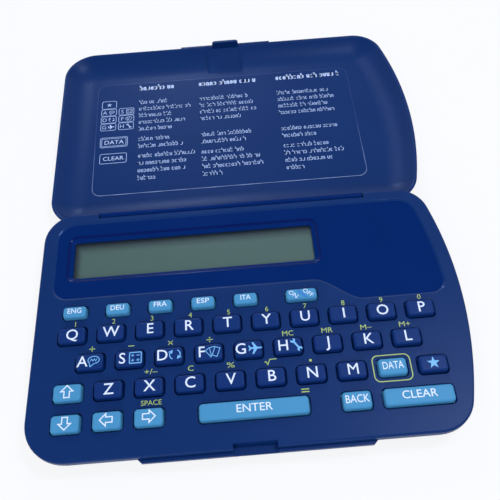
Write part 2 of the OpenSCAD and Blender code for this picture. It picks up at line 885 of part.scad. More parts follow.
// ---- screws ----

screw_end = base_h - face_t / 2 - 0.4;
recess = [2, 0.4, 0.5];     // cross recess: length, width, depth
module case_screws() {
    color("silver")
        for (s = SCREWS)
            translate([s.x, s.y, screw_seat])
                difference() {
                    union() {
                        cylinder(h = screw_end - screw_seat, r = screw_r);
                        translate([0, 0, -screw_head_h])
                            cylinder(h = screw_head_h, r = screw_head_r);
                    }
                    for (a = [0, 90])
                        rotate(a)
                            translate([-recess.x / 2, -recess.y / 2, -screw_head_h - cut])
                                cube([recess.x, recess.y, recess.z + cut]);
                }
}

// ---- keys ----

key_r = 1;
key_straight = 0.1; // how far a key's sides run straight above the face
module key_cap(k) {
    body_z = base_h + key_straight;
    color(k[5])
        translate([k[1], k[2], 0]) {
            translate([0, 0, lip_z])
                linear_extrude(lip_top - lip_z)
                    rounded(k[3] + 2 * key_lip, k[4] + 2 * key_lip, key_r + key_lip);
            translate([0, 0, lip_z])
                linear_extrude(body_z - lip_z)
                    rounded(k[3], k[4], key_r);
            translate([0, 0, body_z])
                tapered(k[3], k[4], key_top - key_bevel - body_z, key_r, key_draft);
            translate([0, 0, key_top - key_bevel])
                tapered(k[3] - 2 * key_draft, k[4] - 2 * key_draft, key_bevel, key_r - key_draft, key_bevel);
        }
}

top_case();
bottom_case();
lid();
guide_label();
hinge_pins();
display_window();
lcd_panel();
lcd_frame();
elastomer_connector();
circuit_board();
processor_chip();
memory_chip();
clock_crystal();
keypad_mat();
battery();
battery_plus_contact();
battery_minus_contact();
battery_door();
case_screws();
for (k = KEYS)
    key_cap(k);
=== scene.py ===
# %% [markdown]
# # A handheld translator, dressed in bmesh
# The construction of this pocket translator comes as a fixed frame: every piece at its real size, with its
# hinge and its 41 sprung keys. This lesson gives it the surface of the real thing. The parts that
# show are modelled again as finer shells around the same sizes, and every other part gets its material.

# %% Load the frame
import math
import random

import bmesh
import bpy
from mathutils import Matrix, Vector


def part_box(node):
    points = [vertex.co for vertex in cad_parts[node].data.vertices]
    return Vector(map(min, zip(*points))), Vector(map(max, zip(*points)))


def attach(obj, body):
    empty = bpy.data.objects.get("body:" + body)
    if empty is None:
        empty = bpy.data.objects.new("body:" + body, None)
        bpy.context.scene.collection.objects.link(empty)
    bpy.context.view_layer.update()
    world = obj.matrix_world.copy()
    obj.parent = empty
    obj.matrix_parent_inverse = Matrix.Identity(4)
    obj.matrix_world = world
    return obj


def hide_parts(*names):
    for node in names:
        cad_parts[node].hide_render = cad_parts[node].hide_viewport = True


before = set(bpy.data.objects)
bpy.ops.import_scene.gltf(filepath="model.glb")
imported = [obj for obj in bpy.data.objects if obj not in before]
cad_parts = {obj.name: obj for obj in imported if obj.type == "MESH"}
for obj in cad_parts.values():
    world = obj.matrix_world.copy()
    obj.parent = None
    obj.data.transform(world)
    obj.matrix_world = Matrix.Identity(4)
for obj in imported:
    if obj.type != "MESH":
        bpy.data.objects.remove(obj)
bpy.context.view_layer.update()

# %% [markdown]
# ## Millimetres
# Blender works in metres, but a product is drawn in millimetres. The object's shapes are modelled in
# millimetres and shrunk once, when they become pieces. `box` reads a part's size from the frame, so that
# a shell follows the part it stands for.

# %% Units and sizes from the frame
MM = 0.001


def box(name):
    """Lowest and highest corner of a part of the frame, in millimetres."""
    low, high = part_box(name)
    return low / MM, high / MM


cover_low, cover_high = box("top_case")
FACE_Z = cover_high.z
LEFT_X = cover_low.x
RIGHT_X = -LEFT_X
FRONT_Y = cover_low.y
BACK_Y = cover_high.y
BEAD_R = 1          # radius of the lid's barrel, and of the case's rounded back edge
AXIS_Y = BACK_Y - BEAD_R
AXIS_Z = FACE_Z - BEAD_R
PART_Z = AXIS_Z - BEAD_R
print(f"case {RIGHT_X - LEFT_X:.1f} x {BACK_Y - FRONT_Y:.1f} mm, face at {FACE_Z:.1f} mm")

# %% [markdown]
# ## Camera
# The camera looks down at the open translator from the front, as someone does who is about to type. A
# lens of about 47 mm keeps the perspective mild.

# %% Camera
# Where it stands in millimetres, and which way its right and its down point
CAMERA_AT = Vector((-0.04, -80.02, 167.80))
CAMERA_RIGHT = Vector((0.99677, -0.07243, -0.03480))
CAMERA_DOWN = Vector((-0.07989, -0.84662, -0.52617))
FOCAL_PX = 650      # focal length in pixels of a frame of 500
FRAME_PX = 500
SENSOR_MM = 36
CLIP_M = 0.01


def in_scene(name, data):
    """Makes an object of a camera, mesh, text or lamp and puts it into the scene."""
    made = bpy.data.objects.new(name, data)
    bpy.context.scene.collection.objects.link(made)
    return made


camera_data = bpy.data.cameras.new("camera")
camera = in_scene("camera", camera_data)
camera_data.sensor_width = SENSOR_MM
camera_data.lens = SENSOR_MM * FOCAL_PX / FRAME_PX
camera_data.clip_start = CLIP_M
axes = Matrix((CAMERA_RIGHT, -CAMERA_DOWN, CAMERA_RIGHT.cross(-CAMERA_DOWN))).transposed()
camera.matrix_world = Matrix.Translation(CAMERA_AT * MM) @ axes.to_4x4()
bpy.context.scene.camera = camera
bpy.context.scene.view_settings.view_transform = "Standard"
print("lens", round(camera_data.lens, 1), "mm")

# %% [markdown]
# ## Colours and nodes
# A colour is written as the hex value seen on the screen. Blender mixes light in linear values, so one
# function turns each channel over. A material is a small tree of nodes: `add` puts a node in, and `plug`
# sets or links the inputs of one that is already there.

# %% Material helpers
MIX_A, MIX_B = 6, 7     # the colour inputs of a Mix node


def linear(hex_colour):
    """Linear RGBA of an sRGB hex colour such as #1b2f6b."""
    channels = [int(hex_colour[i:i + 2], 16) / 255 for i in (1, 3, 5)]
    return [c / 12.92 if c <= 0.04045 else ((c + 0.055) / 1.055) ** 2.4 for c in channels] + [1.0]


def plug(owner, node, inputs):
    """Fills inputs, each with a value, a hex colour, an output, or a node (its first live output)."""
    for name, value in inputs.items():
        if isinstance(value, bpy.types.Node):
            value = next(output for output in value.outputs if output.enabled)
        if isinstance(value, bpy.types.NodeSocket):
            owner.node_tree.links.new(value, node.inputs[name])
        else:
            node.inputs[name].default_value = linear(value) if isinstance(value, str) else value


def add(owner, kind, inputs=None, **settings):
    """Adds a node to a material or to the world; settings are its properties."""
    node = owner.node_tree.nodes.new(kind)
    for name, value in settings.items():
        setattr(node, name, value)
    plug(owner, node, inputs or {})
    return node


def surface(name, **inputs):
    """A material with its Principled shader, its object coordinates, and the given plain inputs."""
    material = bpy.data.materials.new(name)
    material.use_nodes = True
    shader = material.node_tree.nodes["Principled BSDF"]
    plug(material, shader, {socket.replace("_", " "): value for socket, value in inputs.items()})
    return material, shader, add(material, "ShaderNodeTexCoord").outputs["Object"]


print("white is", linear("#ffffff")[:3], "and mid grey is", round(linear("#808080")[0], 3))

# %% [markdown]
# ## One finish for many parts
# No moulding, print or plating is quite even. Most materials here are therefore made the same way: two
# tones that drift over the part in patches, a roughness that drifts with them, and maybe small bumps.
# Only the sizes and colours differ, and these come from the real finish.


# %% Finish
def finish(name, tones, patch_mm, rough=None, bumps=None, detail=2.0, **inputs):
    """Two tones in patches patch_mm wide and a range of roughness. Bumps: width, height, strength, detail."""
    material, shader, where = surface(name, **inputs)
    patches = add(material, "ShaderNodeTexNoise",
                  {"Vector": where, "Scale": 1 / (patch_mm * MM), "Detail": detail})
    tone = add(material, "ShaderNodeMix", {"Factor": patches, MIX_A: tones[0], MIX_B: tones[1]},
               data_type="RGBA")
    plug(material, shader, {"Base Color": tone})
    if rough:
        dull = add(material, "ShaderNodeMapRange", {"Value": patches, "To Min": rough[0], "To Max": rough[1]})
        plug(material, shader, {"Roughness": dull})
    if bumps:
        width, height, strength, bump_detail = bumps
        grain = add(material, "ShaderNodeTexNoise",
                    {"Vector": where, "Scale": 1 / (width * MM), "Detail": bump_detail})
        bump = add(material, "ShaderNodeBump",
                   {"Height": grain, "Distance": height * MM, "Strength": strength})
        plug(material, shader, {"Normal": bump})
    return material


# %% [markdown]
# ## Moulded plastics
# Case and lid are ABS moulded in a spark-eroded tool. The tool leaves a fine grain that scatters
# light, so the navy looks greyer where it mirrors a lamp and deep blue where it doesn't. The panel
# around the display comes out of a polished part of the same tool. The step at the display's frame is
# polished to a mirror, and its colour is painted darker than the case's as painted shade on that step.
# The panel's thin rim, which fingers rub, shines a pale blue.
# The keys have a matt coat, which spreads the lamp's reflection so wide that their colour stays even.

# %% Plastics
DAYLIGHT = "#c6d9ff"
ABS_IOR = 1.53
GRAIN_MM = 0.22     # a real grain is half as wide; this one still shows at arm's length
GRAIN_DEPTH = 0.02
CLOUD_MM = 14       # slow drift of tone over the moulding


def moulded_abs(name, tones, rough, grain, gloss, **inputs):
    """ABS from a spark-eroded tool: two tones, a range of roughness, how strong its grain and gloss are."""
    return finish(name, tones, CLOUD_MM, rough, (GRAIN_MM, GRAIN_DEPTH, grain, 1.0), IOR=ABS_IOR,
                  Specular_IOR_Level=gloss, **inputs)


case_abs = moulded_abs("spark_eroded_navy_abs", ("#0a2e60", "#0d3266"), (0.34, 0.4), 0.35, 0.12)
panel_abs = moulded_abs("polished_navy_abs", ("#01265f", "#032863"), (0.2, 0.26), 0.05, 0.04)
edge_abs = moulded_abs("rubbed_navy_edge", ("#0a2f62", "#0e3468"), (0.16, 0.22), 0.0, 0.25,
                       Specular_Tint=DAYLIGHT)
# Painted shade: the step's tones are darker than the case's and stand for the shade along the display's frame
step_abs_with_painted_shade = moulded_abs("mirror_polished_navy_step_with_painted_shade", ("#001650", "#001a56"), (0.14, 0.2), 0.0, 0.15,
                       Specular_Tint=DAYLIGHT)
navy_coat = moulded_abs("coated_navy_key", ("#0e3069", "#11346d"), (0.36, 0.42), 0.2, 0.12)
blue_coat = moulded_abs("coated_sky_blue_key", ("#4e98bb", "#539cbf"), (0.42, 0.48), 0.2, 0.15)
print("materials so far:", len(bpy.data.materials))

# %% [markdown]
# ## Inks
# Legends are pad-printed: a thin layer of ink that is not quite even, so it lets a trace of the
# plastic through where it is thinnest. On the film the small print is thinner than the headings.

# %% Inks
INK_PATCH_MM = 0.35


def pad_print(name, full, thin):
    """Printed ink, with patches where the layer is thinner."""
    return finish(name, (thin, full), INK_PATCH_MM, detail=1.0, Roughness=0.5, IOR=1.5)


white_ink = pad_print("white_pad_print", "#ffffff", "#eef2f8")
lime_ink = pad_print("lime_pad_print", "#cfdc6a", "#b9c95e")
sky_ink = pad_print("sky_blue_pad_print", "#8ccdf2", "#79bde8")
film_ink = pad_print("thin_film_print", "#bccbe6", "#a5b7d8")
heading_ink = pad_print("full_film_print", "#dbe5f7", "#bccbe8")
shade_ink = pad_print("deeper_sky_pad_print", "#3585c2", "#3080bc")
print("materials so far:", len(bpy.data.materials))

# %% [markdown]
# ## Rings, skins and fills
# The shells are made the way a boat builder planks a hull: rings of edges are laid at a few
# heights, `bridge_loops` planks the space between two rings, and `triangle_fill` closes flat areas, holes
# included. The rings come from a few real sizes, so the corners are true arcs.


# %% Outlines
def arc(cx, cy, r, start, end, steps):
    """Points on an arc, angles in degrees."""
    angles = [math.radians(start + (end - start) * i / steps) for i in range(steps + 1)]
    return [(cx + r * math.cos(a), cy + r * math.sin(a)) for a in angles]


def circle(cx, cy, r, corners):
    """Points all around a circle."""
    return arc(cx, cy, r, 0, 360 - 360 / corners, corners - 1)


def rounded(cx, cy, w, d, r, steps=6):
    """Outline of a rectangle with round corners."""
    points = []
    for i, (sx, sy) in enumerate([(1, 1), (-1, 1), (-1, -1), (1, -1)]):
        points += arc(cx + sx * (w / 2 - r), cy + sy * (d / 2 - r), r, 90 * i, 90 * i + 90, steps)
    return points


def grown(points, by):
    """A counterclockwise outline moved outwards, with mitred corners."""
    moved = []
    for before, here, after in zip(points[-1:] + points[:-1], points, points[1:] + points[:1]):
        a = Vector((here[1] - before[1], before[0] - here[0])).normalized()
        b = Vector((after[1] - here[1], here[0] - after[0])).normalized()
        shift = (a + b) * (by / (1 + a.dot(b)))
        moved.append((here[0] + shift.x, here[1] + shift.y))
    return moved


def round_edge(r, z, steps=4):
    """(offset, height) pairs of a rounded edge, from the face at height z down into the side."""
    turns = [math.radians(90 * i / steps) for i in range(steps + 1)]
    return [(r * (1 - math.sin(t)), z - r * (1 - math.cos(t))) for t in turns]


print("a round edge of 0.6 mm:", [(round(inset, 2), round(z, 2)) for inset, z in round_edge(0.6, 0)])

# %% Rings, skins and fills
# bridge_loops tells which way round two rings run from the gap between them. Rings in one plane have no
# gap, so the second ring is held LIFT above the first while it works.
LIFT = 5


def ring(bm, points, z):
    """A closed ring of edges through the points at height z."""
    corners = [bm.verts.new((x, y, z)) for x, y in points]
    return [bm.edges.new(pair) for pair in zip(corners, corners[1:] + corners[:1])]


def skin(bm, rings, material=0):
    """Planks the space between each ring and the next."""
    for low, high in zip(rings, rings[1:]):
        corners = list({vert for edge in high for vert in edge.verts})
        up = low[0].verts[0].co.z + LIFT - high[0].verts[0].co.z
        bmesh.ops.translate(bm, vec=(0, 0, up), verts=corners)
        for face in bmesh.ops.bridge_loops(bm, edges=low + high)["faces"]:
            face.material_index = material
        bmesh.ops.translate(bm, vec=(0, 0, -up), verts=corners)


def fill(bm, edges, material=0):
    """Closes a flat area, with holes where rings lie inside rings."""
    for made in bmesh.ops.triangle_fill(bm, edges=edges, use_beauty=True, use_dissolve=False)["geom"]:
        if isinstance(made, bmesh.types.BMFace):
            made.material_index = material


def extruded(bm, face, move=(0, 0, 0), size=(1, 1, 1), closed=True):
    """Extrudes a face and returns the new one; the old face stays only as the far end of a loose plate."""
    made = bmesh.ops.extrude_face_region(bm, geom=[face])["geom"]
    corners = [part for part in made if isinstance(part, bmesh.types.BMVert)]
    bmesh.ops.scale(bm, vec=size, verts=corners)
    bmesh.ops.translate(bm, vec=move, verts=corners)
    if not closed:
        bmesh.ops.delete(bm, geom=[face], context="FACES_ONLY")
    return next(part for part in made if isinstance(part, bmesh.types.BMFace))


def trial(draw, *values):
    """How many faces a drawing function makes in an empty bmesh."""
    bm = bmesh.new()
    draw(bm, *values)
    count = len(bm.faces)
    bm.free()
    return count


print("a tile of 8 x 6 mm has", trial(lambda bm: fill(bm, ring(bm, rounded(0, 0, 8, 6, 1), 0))), "faces")

# %% [markdown]
# ## From bmesh to piece
# A finished shape is turned into an object, told which body it rides on and which part of the
# frame it stands for. Edges sharper than 35 degrees stay crisp, and weighted normals keep the big flat faces
# flat beside their small rounded edges.

# %% Piece helper
CRISP = math.radians(35)
MERGE_MM = 0.0001


def as_mesh(bm, name):
    """Ends a bmesh as a mesh."""
    mesh = bpy.data.meshes.new(name)
    bm.to_mesh(mesh)
    bm.free()
    return mesh


def piece(bm, name, body, materials, stands_for=()):
    """Ends a bmesh as a piece that rides on a body and stands for parts of the frame."""
    bmesh.ops.remove_doubles(bm, verts=bm.verts, dist=MERGE_MM)
    bmesh.ops.recalc_face_normals(bm, faces=bm.faces)
    open_edges = sum(len(edge.link_faces) < 2 for edge in bm.edges)
    for edge in bm.edges:
        edge.smooth = len(edge.link_faces) == 2 and edge.calc_face_angle(0) < CRISP
    for face in bm.faces:
        face.smooth = True
    bmesh.ops.scale(bm, vec=(MM, MM, MM), verts=bm.verts)
    made = in_scene(name, as_mesh(bm, name))
    for material in materials:
        made.data.materials.append(material)
    flat = made.modifiers.new("flat_faces", "WEIGHTED_NORMAL")
    flat.keep_sharp = True
    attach(made, body)
    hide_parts(*stands_for)
    if open_edges:
        print(name, "has", open_edges, "open edges")
    return made


# %% [markdown]
# ## The outline
# Seen from above, the case is a rectangle with round corners and one bowed side, on the right. Moving that
# outline inwards gives every other ring of the shells. Behind the hinge axis the cover is a half round
# bead, so there a ring is drawn in, the more the further it lies above or below the axis.

# %% Outline of the case
BOW_R = 117         # the right side is an arc of this radius
BOW_Y = 2           # and reaches furthest out here
BACK_CORNER_R = 9.5
LEFT_CORNER_R = 11
RIGHT_CORNER_R = 10
MIN_CORNER_R = 0.3  # no ring has sharper corners than this
CORNER_STEPS = 12
BOW_STEPS = 20


def bow_corner(inset, r, edge):
    """Middle of a corner on the bowed side, at the edge y = edge."""
    y = edge - math.copysign(r, edge)
    return RIGHT_X - BOW_R + math.sqrt((BOW_R - inset - r) ** 2 - (y - BOW_Y) ** 2), y


def outline(inset):
    """The case's outline moved inwards, counterclockwise from the right front corner."""
    back, left, right = (max(r - inset, MIN_CORNER_R) for r in (BACK_CORNER_R, LEFT_CORNER_R, RIGHT_CORNER_R))
    bow_x = RIGHT_X - BOW_R
    front_c = bow_corner(inset, right, FRONT_Y + inset)
    back_c = bow_corner(inset, back, BACK_Y - inset)
    front_a, back_a = (math.degrees(math.atan2(y - BOW_Y, x - bow_x)) for x, y in (front_c, back_c))
    x = LEFT_X + inset
    return (arc(*front_c, right, -90, front_a, CORNER_STEPS)
            + arc(bow_x, BOW_Y, BOW_R - inset, front_a, back_a, BOW_STEPS)[1:-1]
            + arc(*back_c, back, back_a, 90, CORNER_STEPS)
            + arc(x + back, BACK_Y - inset - back, back, 90, 180, CORNER_STEPS)
            + arc(x + left, FRONT_Y + inset + left, left, 180, 270, CORNER_STEPS))


print("outline points:", len(outline(0)))

# %% [markdown]
# ## Places of the keys
# The wells in the cover follow the keys, so the keys' places are read from the frame before the cover is
# made. A key's box includes the hidden lip that keeps it in.

# %% Key places
KEY_LIP = 0.5
key_names = sorted(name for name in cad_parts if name.startswith("key_"))


def key_place(name):
    """Middle and size of a key's cap, without its lip."""
    low, high = box(name)
    size = high - low
    return (low.x + high.x) / 2, (low.y + high.y) / 2, size.x - 2 * KEY_LIP, size.y - 2 * KEY_LIP


places = {name: key_place(name) for name in key_names}
print(len(places), "keys; a letter key is", [round(v, 2) for v in places["key_q"][2:]], "mm")

# %% [markdown]
# ## Top cover
# The face has 41 wells with softly rounded rims, the sunken panel with its S-shaped front edge,
# and the sloping bezel of the display. The two cut-outs, the long one for the hinge barrel at the back
# and the small one for the latch at the front, are part of the outline itself. A Boolean could cut them
# too, but it leaves slivers that a bevel trips over, so everything is laid as rings.

# %% Outlines of the cover
WALL = 1.3
SLOT_LEFT = 15.8    # from the left side to the hinge slot
SLOT_RIGHT = 21.7   # from the slot to the right side
HINGE_GAP = 0.3     # around the lid's barrel
LATCH_X = -1.1      # middle of the latch notch and of the tongue
NOTCH_W = 11.1
NOTCH_D = 1.5
SLOT_X0 = LEFT_X + SLOT_LEFT
SLOT_X1 = RIGHT_X - SLOT_RIGHT
SLOT_Y = AXIS_Y - BEAD_R - HINGE_GAP
SAME_POINT = 0.01   # points nearer than this are one


def cover_outline(inset, z, wall=0.0):
    """Outline with the hinge slot and the latch notch; wall moves their sides into the cover."""
    reach = math.sqrt(max(0, 1 - ((z - AXIS_Z) / BEAD_R) ** 2))
    points = [(x, AXIS_Y + (y - AXIS_Y) * reach if y > AXIS_Y else y) for x, y in outline(inset)]
    back_end = 2 * CORNER_STEPS + BOW_STEPS + 1
    back_y = points[back_end][1]
    x0, x1 = SLOT_X0 - wall, SLOT_X1 + wall
    slot = [(x1, back_y), (x1, SLOT_Y - wall), (x0, SLOT_Y - wall), (x0, back_y)]
    n0, n1 = LATCH_X - NOTCH_W / 2 - wall, LATCH_X + NOTCH_W / 2 + wall
    front, deep = FRONT_Y + inset, FRONT_Y + NOTCH_D + wall
    return points[:back_end] + slot + points[back_end:] + [(n0, front), (n0, deep), (n1, deep), (n1, front)]


def inner_outline():
    """Inside of the cover's walls, cut off straight in front of the hinge."""
    inner = []
    for x, y in cover_outline(WALL, AXIS_Z, WALL):
        point = Vector((x, min(y, SLOT_Y - WALL)))
        if not inner or (point - inner[-1]).length > SAME_POINT:
            inner.append(point)
    return [tuple(point) for point in inner]


print(f"hinge slot {SLOT_X1 - SLOT_X0:.1f} mm, latch notch {NOTCH_W:.1f} mm")

# %% Panel and display
PANEL_IN = 0.35
PANEL_EDGE = 3.9    # from the sides of the case
PANEL_R = 4.5
STEP_W = 13.5       # width of the S in the front edge
STEP_RIGHT = 27     # from the S to the right side of the case
STEP_POINTS = 24
PANEL_UP = 4.7      # from the middle of the language keys to the front edge
PANEL_UP_RIGHT = 4.65       # the same for the top row of letters
CORNER_CLEAR = 0.5  # the case's outline is followed from this far behind the corners
VIEW_BORDER = 1.5   # the window reaches this far under its frame
VIEW_BORDER_LEFT = 1.1
PANEL_Z = FACE_Z - PANEL_IN
PANEL_Y1 = places["key_eng"][1] + PANEL_UP
PANEL_Y2 = places["key_q"][1] + PANEL_UP_RIGHT


def panel_outline():
    """The sunken panel: its front edge steps down from left to right."""
    left, right = LEFT_X + PANEL_EDGE, RIGHT_X - PANEL_EDGE
    front = []
    for i in range(STEP_POINTS + 1):
        t = i / STEP_POINTS
        drop = (PANEL_Y2 - PANEL_Y1) * t * t * (3 - 2 * t)
        front.append((RIGHT_X - STEP_RIGHT - STEP_W * (1 - t), PANEL_Y1 + drop))
    left_y, right_y = PANEL_Y1 + PANEL_R, PANEL_Y2 + PANEL_R
    sides = [(x, y) for x, y in outline(PANEL_EDGE) if y > (right_y if x > 0 else left_y) + CORNER_CLEAR]
    return (arc(left + PANEL_R, left_y, PANEL_R, 180, 270, CORNER_STEPS) + front
            + arc(right - PANEL_R, right_y, PANEL_R, 270, 360, CORNER_STEPS) + sides)


window_low, window_high = box("display_window")
VIEW_X = (window_low.x + VIEW_BORDER_LEFT + window_high.x - VIEW_BORDER) / 2
VIEW_Y = (window_low.y + window_high.y) / 2
VIEW_W = window_high.x - window_low.x - VIEW_BORDER - VIEW_BORDER_LEFT
VIEW_D = window_high.y - window_low.y - 2 * VIEW_BORDER
print(f"visible display {VIEW_W:.1f} x {VIEW_D:.1f} mm")

# %% Sides, panel wall and wells
CASE, PANEL, EDGE, STEP = range(4)      # the materials of the shells, in this order
FACE_T = 1.3
UNDER_Z = FACE_Z - FACE_T
EDGE_R = 0.6        # rounding between face and side
EDGE_STEPS = 5
KEY_R = 1.0         # upright corners of a key
WELL_GAP = 0.25     # between a key and its well
WELL_RIM_R = 0.2
# Offset from the panel's outline, and depth below the face
PANEL_WALL = [(0.32, 0), (0.24, 0.02), (0.16, 0.06), (-0.18, 0.26), (-0.24, 0.31), (-0.3, PANEL_IN)]

cover = bmesh.new()
bead = [AXIS_Z - BEAD_R * math.cos(math.radians(90 * i / EDGE_STEPS)) for i in range(EDGE_STEPS + 1)]
edge = [(0, z) for z in bead] + list(reversed(round_edge(EDGE_R, FACE_Z, EDGE_STEPS)))
outer = [ring(cover, cover_outline(inset, z), z) for inset, z in edge]
skin(cover, outer)
panel_wall = [ring(cover, grown(panel_outline(), offset), FACE_Z - depth) for offset, depth in PANEL_WALL]
skin(cover, panel_wall, EDGE)

rim = [(WELL_GAP + offset, z) for offset, z in round_edge(WELL_RIM_R, FACE_Z)] + [(WELL_GAP, UNDER_Z)]
wells = []
for x, y, w, d in places.values():
    wells.append([ring(cover, rounded(x, y, w + 2 * o, d + 2 * o, KEY_R + o), z) for o, z in rim])
    skin(cover, wells[-1])
fill(cover, sum((well[0] for well in wells), outer[-1] + panel_wall[0]))
print("cover so far:", len(cover.faces), "faces")

# %% Bezel and underside
# From the panel inwards: a rounded step, the slope, and the short drop to the window. Each row is an
# offset from the visible display and a depth below the panel.
BEZEL_STEP = [(1.98, 0), (1.84, 0.02), (1.68, 0.08), (1.46, 0.26), (1.38, 0.31), (1.28, 0.33)]
BEZEL_SLOPE = [(0.3, 0.66), (0.16, 0.74), (0.12, PANEL_Z - UNDER_Z)]
BEZEL_UP = 0.14     # the step lies further back than the opening, by this share of its offset
VIEW_R = 0.6

bezel = [ring(cover, rounded(VIEW_X, VIEW_Y + BEZEL_UP * offset, VIEW_W + 2 * offset, VIEW_D + 2 * offset,
                             VIEW_R + offset), PANEL_Z - depth) for offset, depth in BEZEL_STEP + BEZEL_SLOPE]
skin(cover, bezel[:len(BEZEL_STEP)], STEP)
skin(cover, bezel[len(BEZEL_STEP) - 1:], PANEL)
fill(cover, panel_wall[-1] + bezel[0], PANEL)
inner = [ring(cover, inner_outline(), z) for z in (UNDER_Z, PART_Z)]
skin(cover, inner)
fill(cover, sum((well[-1] for well in wells), inner[0] + bezel[-1]))
fill(cover, inner[1] + outer[0])
print("cover:", len(cover.faces), "faces")

# %% Screw bosses
BOSS_R = 1.7
BOSS_HOLE_R = 0.97
BOSS_Z = 4.2        # lower end of a boss
BOSS_ROOT = 0.3     # how far a boss reaches into the face
BOSS_CORNERS = 24
SCREW_LEFT = 12     # from the sides and the front of the case to the screws
SCREW_RIGHT = 13
SCREW_FRONT = 4.55
SCREW_BACK = 0.1    # from the inner wall to the boss
ENTER_SCREW = 4.2   # from the ENTER key to the screws beside it
enter_x, enter_y, enter_w, _ = places["key_enter"]
beside_enter = enter_w / 2 + ENTER_SCREW
rows = (SLOT_Y - WALL - BOSS_R - SCREW_BACK, FRONT_Y + SCREW_FRONT)
spots = [(x, y) for x in (LEFT_X + SCREW_LEFT, RIGHT_X - SCREW_RIGHT) for y in rows]
spots += [(enter_x - beside_enter, enter_y), (enter_x + beside_enter, enter_y)]
root_z = UNDER_Z + BOSS_ROOT
boss = [(BOSS_R, root_z), (BOSS_R, BOSS_Z), (BOSS_HOLE_R, BOSS_Z), (BOSS_HOLE_R, root_z)]
for x, y in spots:
    tube = [ring(cover, circle(x, y, r, BOSS_CORNERS), z) for r, z in boss]
    skin(cover, tube + tube[:1])
shell_finish = [case_abs, panel_abs, edge_abs, step_abs_with_painted_shade]
top_cover = piece(cover, "top_cover", "base", shell_finish, ["top_case"])
print("top cover with", len(spots), "bosses:", len(top_cover.data.polygons), "faces")

# %% [markdown]
# ## Lettering and pictograms
# Ink stands a hundredth of a millimetre proud of the plastic. An image could carry it, but thin solids stay
# sharp however close one looks, and they need no unwrapping. Letters start as text curves, which are made a
# mesh before they are put in place. Pictograms are strokes and small plates. What a key carries is joined to
# its cap as a second or third material, and the print on the face and on the film are pieces of their own.

# %% Letters
INK = 0.02          # a real layer is half as thick; this one stays clear of the face below it
SUNK = 0.008        # part of the layer that lies in the surface
CAP_SHARE = 0.682   # cap height of Blender's own font, for a text size of 1


def letters(bm, text, cap, x, y, z, material=1, angle=0, width=None, weight=0.0):
    """Prints text around x, y with capitals of height cap; width, if given, is what the line is fitted to."""
    curve = bpy.data.curves.new("letters", "FONT")
    curve.body = text
    curve.align_x = "CENTER"
    curve.size = cap / CAP_SHARE
    curve.extrude = INK / 2
    curve.offset = weight
    curve.resolution_u = 3
    holder = in_scene("letters", curve)
    bpy.context.view_layer.update()
    mesh = bpy.data.meshes.new_from_object(holder.evaluated_get(bpy.context.evaluated_depsgraph_get()))
    xs = [vert.co.x for vert in mesh.vertices]
    stretch = width / (max(xs) - min(xs)) if width else 1
    middle = Matrix.Diagonal((stretch, 1, 1, 1)) @ Matrix.Translation((0, -cap / 2, 0))
    spot = Matrix.Translation((x, y, z + INK / 2 - SUNK))
    mesh.transform(spot @ Matrix.Rotation(math.radians(angle), 4, "Z") @ middle)
    for polygon in mesh.polygons:
        polygon.material_index = material
    mesh.update()
    bm.from_mesh(mesh)
    bpy.data.objects.remove(holder)
    bpy.data.meshes.remove(mesh)
    bpy.data.curves.remove(curve)


print("a printed Q has", trial(letters, "Q", 3, 0, 0, 0), "faces")


# %% Strokes and plates
def plate(bm, points, z, material=1):
    """A flat printed patch."""
    face = bm.faces.new([bm.verts.new((x, y, z - SUNK)) for x, y in points])
    face.material_index = material
    extruded(bm, face, move=(0, 0, INK)).material_index = material


def bar(bm, x0, y0, x1, y1, width, z, material=1):
    """A straight printed line."""
    along = Vector((x1 - x0, y1 - y0)).normalized() * width / 2
    side = Vector((-along.y, along.x))
    corners = [(x0 - side.x, y0 - side.y), (x1 - side.x, y1 - side.y), (x1 + side.x, y1 + side.y),
               (x0 + side.x, y0 + side.y)]
    plate(bm, corners, z, material)


def loop(bm, points, width, z, material=1):
    """A printed line around a counterclockwise outline."""
    sides = [grown(points, width / 2), grown(points, -width / 2)]
    levels = [z - SUNK, z - SUNK + INK]
    rings = [ring(bm, sides[i], levels[j]) for i, j in ((0, 0), (0, 1), (1, 1), (1, 0))]
    skin(bm, rings + rings[:1], material)


def path(bm, points, width, z, material=1):
    """A printed line through a row of points, open at both ends."""
    row = [Vector(point) for point in points]
    row = [2 * row[0] - row[1]] + row + [2 * row[-1] - row[-2]]
    left, right = [], []
    for before, here, after in zip(row, row[1:], row[2:]):
        a = Vector((here.y - before.y, before.x - here.x)).normalized()
        b = Vector((after.y - here.y, here.x - after.x)).normalized()
        shift = (a + b) * (width / 2 / (1 + a.dot(b)))
        left.append(tuple(here + shift))
        right.append(tuple(here - shift))
    plate(bm, left + right[::-1], z, material)


print("a bent line has", trial(path, [(0, 0), (1, 0), (1, 1)], 0.2, 0), "faces")

# %% [markdown]
# ## Keys
# A key is a small block with a lip below that keeps it in its well. Rings could make it too, but a cube
# with two bevels says the same in fewer lines: one rounds its upright corners, then the sides lean in as
# they must to leave the mould, and the other softens the top edge. Two extrusions of the bottom face make
# the lip. One function makes every cap, and the list below says what each one carries.

# %% Cap
KEY_BOTTOM = box("key_q")[0].z
KEY_TOP = box("key_q")[1].z
KEY_SOFT = 0.6      # radius of the soft top edge
KEY_DRAFT = 0.2     # how far each side leans in
KEY_LIP_H = 0.55
CORNER_SEGMENTS = 7
TOP_SEGMENTS = 5
ACROSS = 0.1        # an edge that moves less than this along an axis lies across it


def length_along(edge, axis):
    """How far an edge runs along an axis: 0 is X, 1 is Y and 2 is Z."""
    return abs(edge.verts[0].co[axis] - edge.verts[1].co[axis])


def soften(bm, edges, radius, segments):
    """Rounds edges."""
    bmesh.ops.bevel(bm, geom=edges, offset=radius, segments=segments, profile=0.5, affect="EDGES",
                    material=-1)


